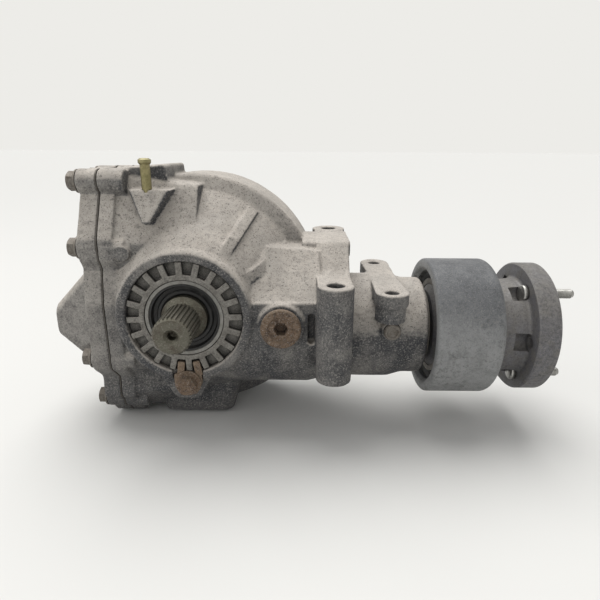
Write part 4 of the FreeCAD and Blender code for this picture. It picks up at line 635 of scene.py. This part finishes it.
        # Pressed fibre gasket, its edge as dusty as the castings beside it. It is no metal, so its metallic
        # share is nothing.
        fibre = WeatheredMetal(
            name="pressed_fibre", base="#57534D", stain="#45413C", grime_and_shade="#262422", dust="#7C766E",
            worn="#6E685F", metallic=0.0, roughness=0.85, grain_mm=0.6, grain_height_mm=0.05, stain_mm=4.0,
            stain_share=0.6, grime_and_under_shade_share=0.5, dust_share=0.6, corner_shade_mm=2.0, corner_shade_and_dirt_share=0.2,
        )
        self.stud_plating: bpy.types.Material = bright.material()
        self.by_slot: dict[str, bpy.types.Material] = {
            "cast_aluminium": cast.material(),
            "cast_iron": iron.material(),
            "rusty_steel": rust.material(),
            "zinc": zinc.material(),
            "weathered_steel": dull.material(),
            "machined_steel": turned.material(),
            "shaft_steel": shaft.material(),
            "flange_steel": forged.material(),
            "damper_iron": dipped.material(),
            "gear_steel": gear.material(),
            "bearing_steel": ground.material(),
            "gasket": fibre.material(),
            "rubber": MouldedRubber("nitrile_rubber").material(),
        }

    def dress(self, piece: bpy.types.Object, slot: str) -> None:
        """Give a piece the finish of a record slot."""
        piece.data.materials.clear()
        piece.data.materials.append(self.by_slot[slot])

    def dress_frame(self, record: dict[str, Any], nodes: dict[str, bpy.types.Object]) -> None:
        """Put each CAD node's finish into its own material slots.

        Args:
            record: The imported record.
            nodes: CAD node name to its object.
        """
        for part in record["subparts"]:
            node = nodes[part["node"]]
            for index in range(len(node.material_slots)):
                node.material_slots[index].material = self.by_slot[part["material_slot"]]
        log.info("dressed %d CAD nodes", len(nodes))


@dataclass(frozen=True)
class RoundMark:
    """A low round pad that stands out of a casting's upright face, towards the right side."""

    centre_mm: tuple[float, float, float]
    radius_mm: float
    depth_mm: float
    segments: int = 48

    def add_to(self, mesh: bpy.types.Mesh) -> None:
        """Add the pad's closed disc to a mesh.

        Args:
            mesh: Mesh that takes the disc, in metres.
        """
        turn = Matrix.Rotation(math.pi / 2, 4, "X")
        shape = bmesh.new()
        shape.from_mesh(mesh)
        bmesh.ops.create_cone(
            shape,
            cap_ends=True,
            segments=self.segments,
            radius1=self.radius_mm * MM,
            radius2=self.radius_mm * MM,
            depth=self.depth_mm * MM,
            matrix=Matrix.Translation(Vector(self.centre_mm) * MM) @ turn,
        )
        shape.to_mesh(mesh)
        shape.free()


@dataclass
class Casting:
    """A casting with rounded edges and a slightly uneven skin, grown from its CAD node."""

    node: str
    body: str
    slot: str
    voxel_mm: float = 0.9
    quick_voxel_mm: float = 2.2
    rounding: int = 6
    rounding_step: float = 0.5
    waviness_mm: float = 0.22
    waviness_size_mm: float = 16.0
    pitting_mm: float = 0.10
    pitting_size_mm: float = 2.6
    marks: tuple[RoundMark, ...] = ()

    def build(self, nodes: dict[str, bpy.types.Object], finishes: Finishes) -> bpy.types.Object:
        """Copy, remesh, round and roughen the node's mesh.

        Args:
            nodes: CAD node name to its object.
            finishes: The drive's finishes.

        Returns:
            The piece that stands for the node.
        """
        piece = bpy.data.objects.new(self.node + "_cast", nodes[self.node].data.copy())
        bpy.context.scene.collection.objects.link(piece)
        for mark in self.marks:
            mark.add_to(piece.data)
        remesh = piece.modifiers.new("skin", "REMESH")
        remesh.mode = "VOXEL"
        remesh.voxel_size = self.voxel_mm * MM
        remesh.use_smooth_shade = True
        smooth = piece.modifiers.new("rounding", "SMOOTH")
        smooth.factor = self.rounding_step
        smooth.iterations = self.rounding
        self._apply(piece)
        low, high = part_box(self.node)
        self._roughen(piece, low, high)
        finishes.dress(piece, self.slot)
        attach(piece, self.body)
        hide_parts(self.node)
        log.info("%s: %d faces", piece.name, len(piece.data.polygons))
        return piece

    def _apply(self, piece: bpy.types.Object) -> None:
        """Bake the piece's modifiers into its mesh."""
        graph = bpy.context.evaluated_depsgraph_get()
        mesh = bpy.data.meshes.new_from_object(piece.evaluated_get(graph))
        piece.modifiers.clear()
        piece.data = mesh

    def _roughen(self, piece: bpy.types.Object, low: Vector, high: Vector) -> None:
        """Move the skin along its normals by two sizes of noise, inside the node's box.

        Args:
            piece: Casting to roughen.
            low: Lowest corner that the skin may reach.
            high: Highest corner that the skin may reach.
        """
        mesh = piece.data
        places = np.empty(len(mesh.vertices) * 3)
        normals = np.empty(len(mesh.vertices) * 3)
        mesh.vertices.foreach_get("co", places)
        mesh.vertex_normals.foreach_get("vector", normals)
        places = places.reshape(-1, 3)
        normals = normals.reshape(-1, 3)
        broad = [noise.noise(place) for place in places * per_metre(self.waviness_size_mm)]
        small = [noise.noise(place) for place in places * per_metre(self.pitting_size_mm)]
        lift = np.array(broad) * self.waviness_mm + (np.array(small) - 1.0) * self.pitting_mm
        places += normals * (lift * MM)[:, None]
        places = np.clip(places, np.array(low), np.array(high))
        mesh.vertices.foreach_set("co", places.ravel())
        mesh.update()


@dataclass
class ThreadedStuds:
    """The three studs of the input flange, with real threads on their free ends.

    Places along a stud are measured from the flange's face, towards the stud's tip.
    """

    node: str = "flange_studs"
    body: str = "input"
    slot: str = "zinc"
    count: int = 3
    circle_r_mm: float = 40.5
    thread_r_mm: float = 4.0
    thread_depth_mm: float = 0.62
    thread_pitch_mm: float = 1.25
    thread_start_mm: float = 1.2
    head_r_mm: float = 7.0
    head_ease_mm: float = 0.5
    head_start_mm: float = -21.5
    head_t_mm: float = 4.0
    shank_r_mm: float = 5.2
    shank_end_mm: float = 0.3
    tip_mm: float = 20.5
    tip_ease_mm: float = 1.4
    tip_taper_mm: float = 0.5
    segments: int = 40
    rings_per_pitch: int = 6

    def build(self, finishes: Finishes) -> bpy.types.Object:
        """Make all studs as one piece.

        Args:
            finishes: The drive's finishes.

        Returns:
            The piece that stands for the CAD studs.
        """
        shape = bmesh.new()
        for index in range(self.count):
            angle = math.radians(360.0 * index / self.count)
            centre = Vector((0.0, math.cos(angle) * self.circle_r_mm, math.sin(angle) * self.circle_r_mm))
            self._stud(shape, centre)
        mesh = bpy.data.meshes.new("threaded_studs")
        shape.to_mesh(mesh)
        shape.free()
        mesh.transform(Matrix.Scale(MM, 4))
        for face in mesh.polygons:
            face.use_smooth = True
        piece = bpy.data.objects.new("threaded_studs", mesh)
        bpy.context.scene.collection.objects.link(piece)
        piece.data.materials.append(finishes.stud_plating)
        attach(piece, self.body)
        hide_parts(self.node)
        log.info("threaded studs: %d faces", len(mesh.polygons))
        return piece

    def _profile(self) -> list[tuple[float, float, bool]]:
        """Places along a stud with their radius and whether the thread runs there.

        Returns:
            Distance along the axis, outer radius and thread flag of each ring.
        """
        start = self.head_start_mm
        rings = [
            (start, self.head_r_mm - self.head_ease_mm, False),
            (start + self.head_ease_mm, self.head_r_mm, False),
            (start + self.head_t_mm, self.head_r_mm, False),
            (start + self.head_t_mm, self.shank_r_mm, False),
            (self.shank_end_mm, self.shank_r_mm, False),
            (self.shank_end_mm, self.thread_r_mm, False),
        ]
        step = self.thread_pitch_mm / self.rings_per_pitch
        count = int((self.tip_mm - self.tip_ease_mm - self.thread_start_mm) / step)
        for index in range(count + 1):
            rings.append((self.thread_start_mm + index * step, self.thread_r_mm, True))
        root_r = self.thread_r_mm - self.thread_depth_mm
        rings.append((self.tip_mm - self.tip_ease_mm, root_r, False))
        rings.append((self.tip_mm, root_r - self.tip_taper_mm, False))
        return rings

    def _stud(self, shape: bmesh.types.BMesh, centre: Vector) -> None:
        """Add one stud to the mesh.

        Args:
            shape: Mesh that takes the stud, in millimetres.
            centre: Where the stud's axis meets the flange's face.
        """
        loops = []
        for along, radius, threaded in self._profile():
            loop = []
            for step in range(self.segments):
                share = step / self.segments
                reach = radius
                if threaded:
                    phase = (along / self.thread_pitch_mm - share) % 1.0
                    reach -= self.thread_depth_mm * (1.0 - abs(2.0 * phase - 1.0))
                turn = 2 * math.pi * share
                offset = Vector((along, math.cos(turn) * reach, math.sin(turn) * reach))
                loop.append(shape.verts.new(centre + offset))
            loops.append(loop)
        for near, far in zip(loops, loops[1:]):
            for step in range(self.segments):
                following = (step + 1) % self.segments
                shape.faces.new((near[step], near[following], far[following], far[step]))
        shape.faces.new(list(reversed(loops[0])))
        shape.faces.new(loops[-1])


@dataclass
class Studio:
    """Plain pale floor, soft lamps and the photograph's camera. Places and sizes are in metres."""

    floor_half_m: float = 40.0
    floor_hex: str = "#DDDCD8"
    floor_roughness: float = 0.95
    floor_specular: float = 0.1
    backdrop_hex: str = "#EDECE8"
    aim_m: tuple[float, float, float] = (-0.16, 0.0, 0.02)
    sky_strength: float = 2.5
    sky_angle_deg: float = 55.0
    sky_place_m: tuple[float, float, float] = (-0.35, 0.45, 1.35)
    fill_power: float = 2.5
    fill_place_m: tuple[float, float, float] = (-0.6, -1.5, 0.6)
    fill_size_m: float = 1.6
    rim_power: float = 4.0
    rim_place_m: tuple[float, float, float] = (-1.5, -0.5, 0.8)
    rim_size_m: float = 1.0
    world_hex: str = "#F2F3F5"
    world_strength: float = 0.5

    def build(self, floor_z: float) -> None:
        """Set up floor, lamps, world and camera.

        Args:
            floor_z: Height of the object's lowest point.
        """
        self._floor(floor_z)
        self._sky()
        self._softbox("front_fill", self.fill_place_m, self.fill_size_m, self.fill_power)
        self._softbox("left_softbox", self.rim_place_m, self.rim_size_m, self.rim_power)
        self._world()
        self._camera()

    def _floor(self, floor_z: float) -> None:
        """Lay the floor level with the object's lowest point."""
        half = self.floor_half_m
        mesh = bpy.data.meshes.new("floor")
        outline = [(-half, -half, 0), (half, -half, 0), (half, half, 0), (-half, half, 0)]
        mesh.from_pydata(outline, [], [(0, 1, 2, 3)])
        floor = bpy.data.objects.new("floor", mesh)
        floor.location.z = floor_z
        bpy.context.scene.collection.objects.link(floor)
        paper = bpy.data.materials.new("pale_paper")
        paper.use_nodes = True
        shader = paper.node_tree.nodes["Principled BSDF"]
        shader.inputs["Base Color"].default_value = linear(self.floor_hex)
        shader.inputs["Roughness"].default_value = self.floor_roughness
        shader.inputs["Specular IOR Level"].default_value = self.floor_specular
        mesh.materials.append(paper)
        floor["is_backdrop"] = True

    def _hang(self, data: bpy.types.Light, place: Sequence[float]) -> None:
        """Put a lamp in its place, facing the object.

        Args:
            data: The lamp's light, whose name the lamp takes.
            place: Where it hangs.
        """
        lamp = bpy.data.objects.new(data.name, data)
        lamp.location = place
        lamp.rotation_mode = "QUATERNION"
        lamp.rotation_quaternion = (Vector(self.aim_m) - Vector(place)).to_track_quat("-Z", "Y")
        bpy.context.scene.collection.objects.link(lamp)

    def _sky(self) -> None:
        """Even soft light from above and a little behind, the same all over the floor."""
        data = bpy.data.lights.new("ceiling_light", "SUN")
        data.energy = self.sky_strength
        data.angle = math.radians(self.sky_angle_deg)
        self._hang(data, self.sky_place_m)

    def _softbox(self, name: str, place: Sequence[float], size_m: float, power: float) -> None:
        """Add a square soft lamp.

        Args:
            name: Name of the lamp.
            place: Where it stands.
            size_m: Side of its square.
            power: Watts.
        """
        data = bpy.data.lights.new(name, "AREA")
        data.size = size_m
        data.energy = power
        self._hang(data, place)

    def _world(self) -> None:
        """Pale surroundings: soft light on the object and a pale backdrop behind it."""
        world = bpy.data.worlds.new("studio")
        world.use_nodes = True
        tree = world.node_tree
        tree.nodes.clear()
        path = add_node(tree, "ShaderNodeLightPath")
        shown = path.outputs["Is Camera Ray"]
        for ray in ("Is Glossy Ray", "Is Transmission Ray"):
            rays = {0: shown, 1: path.outputs[ray]}
            shown = add_node(tree, "ShaderNodeMath", links=rays, operation="MAXIMUM").outputs[0]
        lights = []
        for hex_code, strength in ((self.world_hex, self.world_strength), (self.backdrop_hex, 1.0)):
            colour = {"Color": linear(hex_code), "Strength": strength}
            lights.append(add_node(tree, "ShaderNodeBackground", values=colour).outputs[0])
        mix = add_node(tree, "ShaderNodeMixShader", links={0: shown, 1: lights[0], 2: lights[1]})
        add_node(tree, "ShaderNodeOutputWorld", links={0: mix.outputs[0]})
        bpy.context.scene.world = world

    def _camera(self) -> None:
        """Place the camera where the photograph was taken from."""
        pitch = math.radians(CAMERA_PITCH_DEG)
        yaw = math.radians(CAMERA_YAW_DEG)
        roll = math.radians(CAMERA_ROLL_DEG)
        forward = Vector((math.sin(yaw) * math.cos(pitch), math.cos(yaw) * math.cos(pitch), -math.sin(pitch)))
        level = Vector((math.cos(yaw), -math.sin(yaw), 0.0))
        upright = level.cross(forward)
        right = level * math.cos(roll) + upright * math.sin(roll)
        above = upright * math.cos(roll) - level * math.sin(roll)
        data = bpy.data.cameras.new("photo_camera")
        data.sensor_width = SENSOR_MM
        data.lens = CAMERA_FOCAL_PX / FRAME_PX * SENSOR_MM
        data.clip_start = CAMERA_CLIP_START_M
        camera = bpy.data.objects.new("photo_camera", data)
        axes = Matrix((right, above, -forward)).transposed()
        camera.matrix_world = Matrix.Translation(Vector(CAMERA_PLACE_MM) * MM) @ axes.to_4x4()
        bpy.context.scene.collection.objects.link(camera)
        bpy.context.scene.camera = camera


@dataclass
class FinalDrive:
    """The whole drive: its castings, its studs and the finishes of the rest."""

    finishes: Finishes = field(default_factory=Finishes)

    def castings(self) -> Iterable[Casting]:
        """The pieces that get a cast skin. The adjusters are smaller and get a finer one."""
        mark = RoundMark(CAST_MARK_MM, CAST_MARK_R_MM, CAST_MARK_DEPTH_MM)
        yield Casting("carrier_housing", "housing", "cast_aluminium", marks=(mark,))
        yield Casting("rear_cover", "housing", "cast_aluminium")
        for node, voxel_mm in (("bearing_adjuster_right", 0.4), ("bearing_adjuster_left", 0.5)):
            yield Casting(
                node, "housing", "cast_iron", voxel_mm=voxel_mm, quick_voxel_mm=0.8, rounding=3,
                waviness_mm=0.1, pitting_mm=0.06, pitting_size_mm=1.4,
            )

    def build(self, frame: dict[str, Any]) -> None:
        """Dress the CAD nodes and make the pieces that replace some of them.
        """
        nodes = frame["nodes"]
        self.finishes.dress_frame(frame["record"], nodes)
        for casting in self.castings():
            casting.build(nodes, self.finishes)
        ThreadedStuds().build(self.finishes)


def corners(box: Sequence[Vector]) -> list[list[float]]:
    """A box's two corners as plain numbers."""
    return [[float(value) for value in corner] for corner in box]


def main() -> None:
    """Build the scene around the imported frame."""
    logging.basicConfig(level=logging.INFO, format="%(name)s: %(message)s")
    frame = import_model()
    cad_box = corners(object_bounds())
    bpy.context.scene.view_settings.view_transform = "Standard"
    FinalDrive().build(frame)
    Studio().build(cad_box[0][2])


if __name__ == "__main__":
    main()
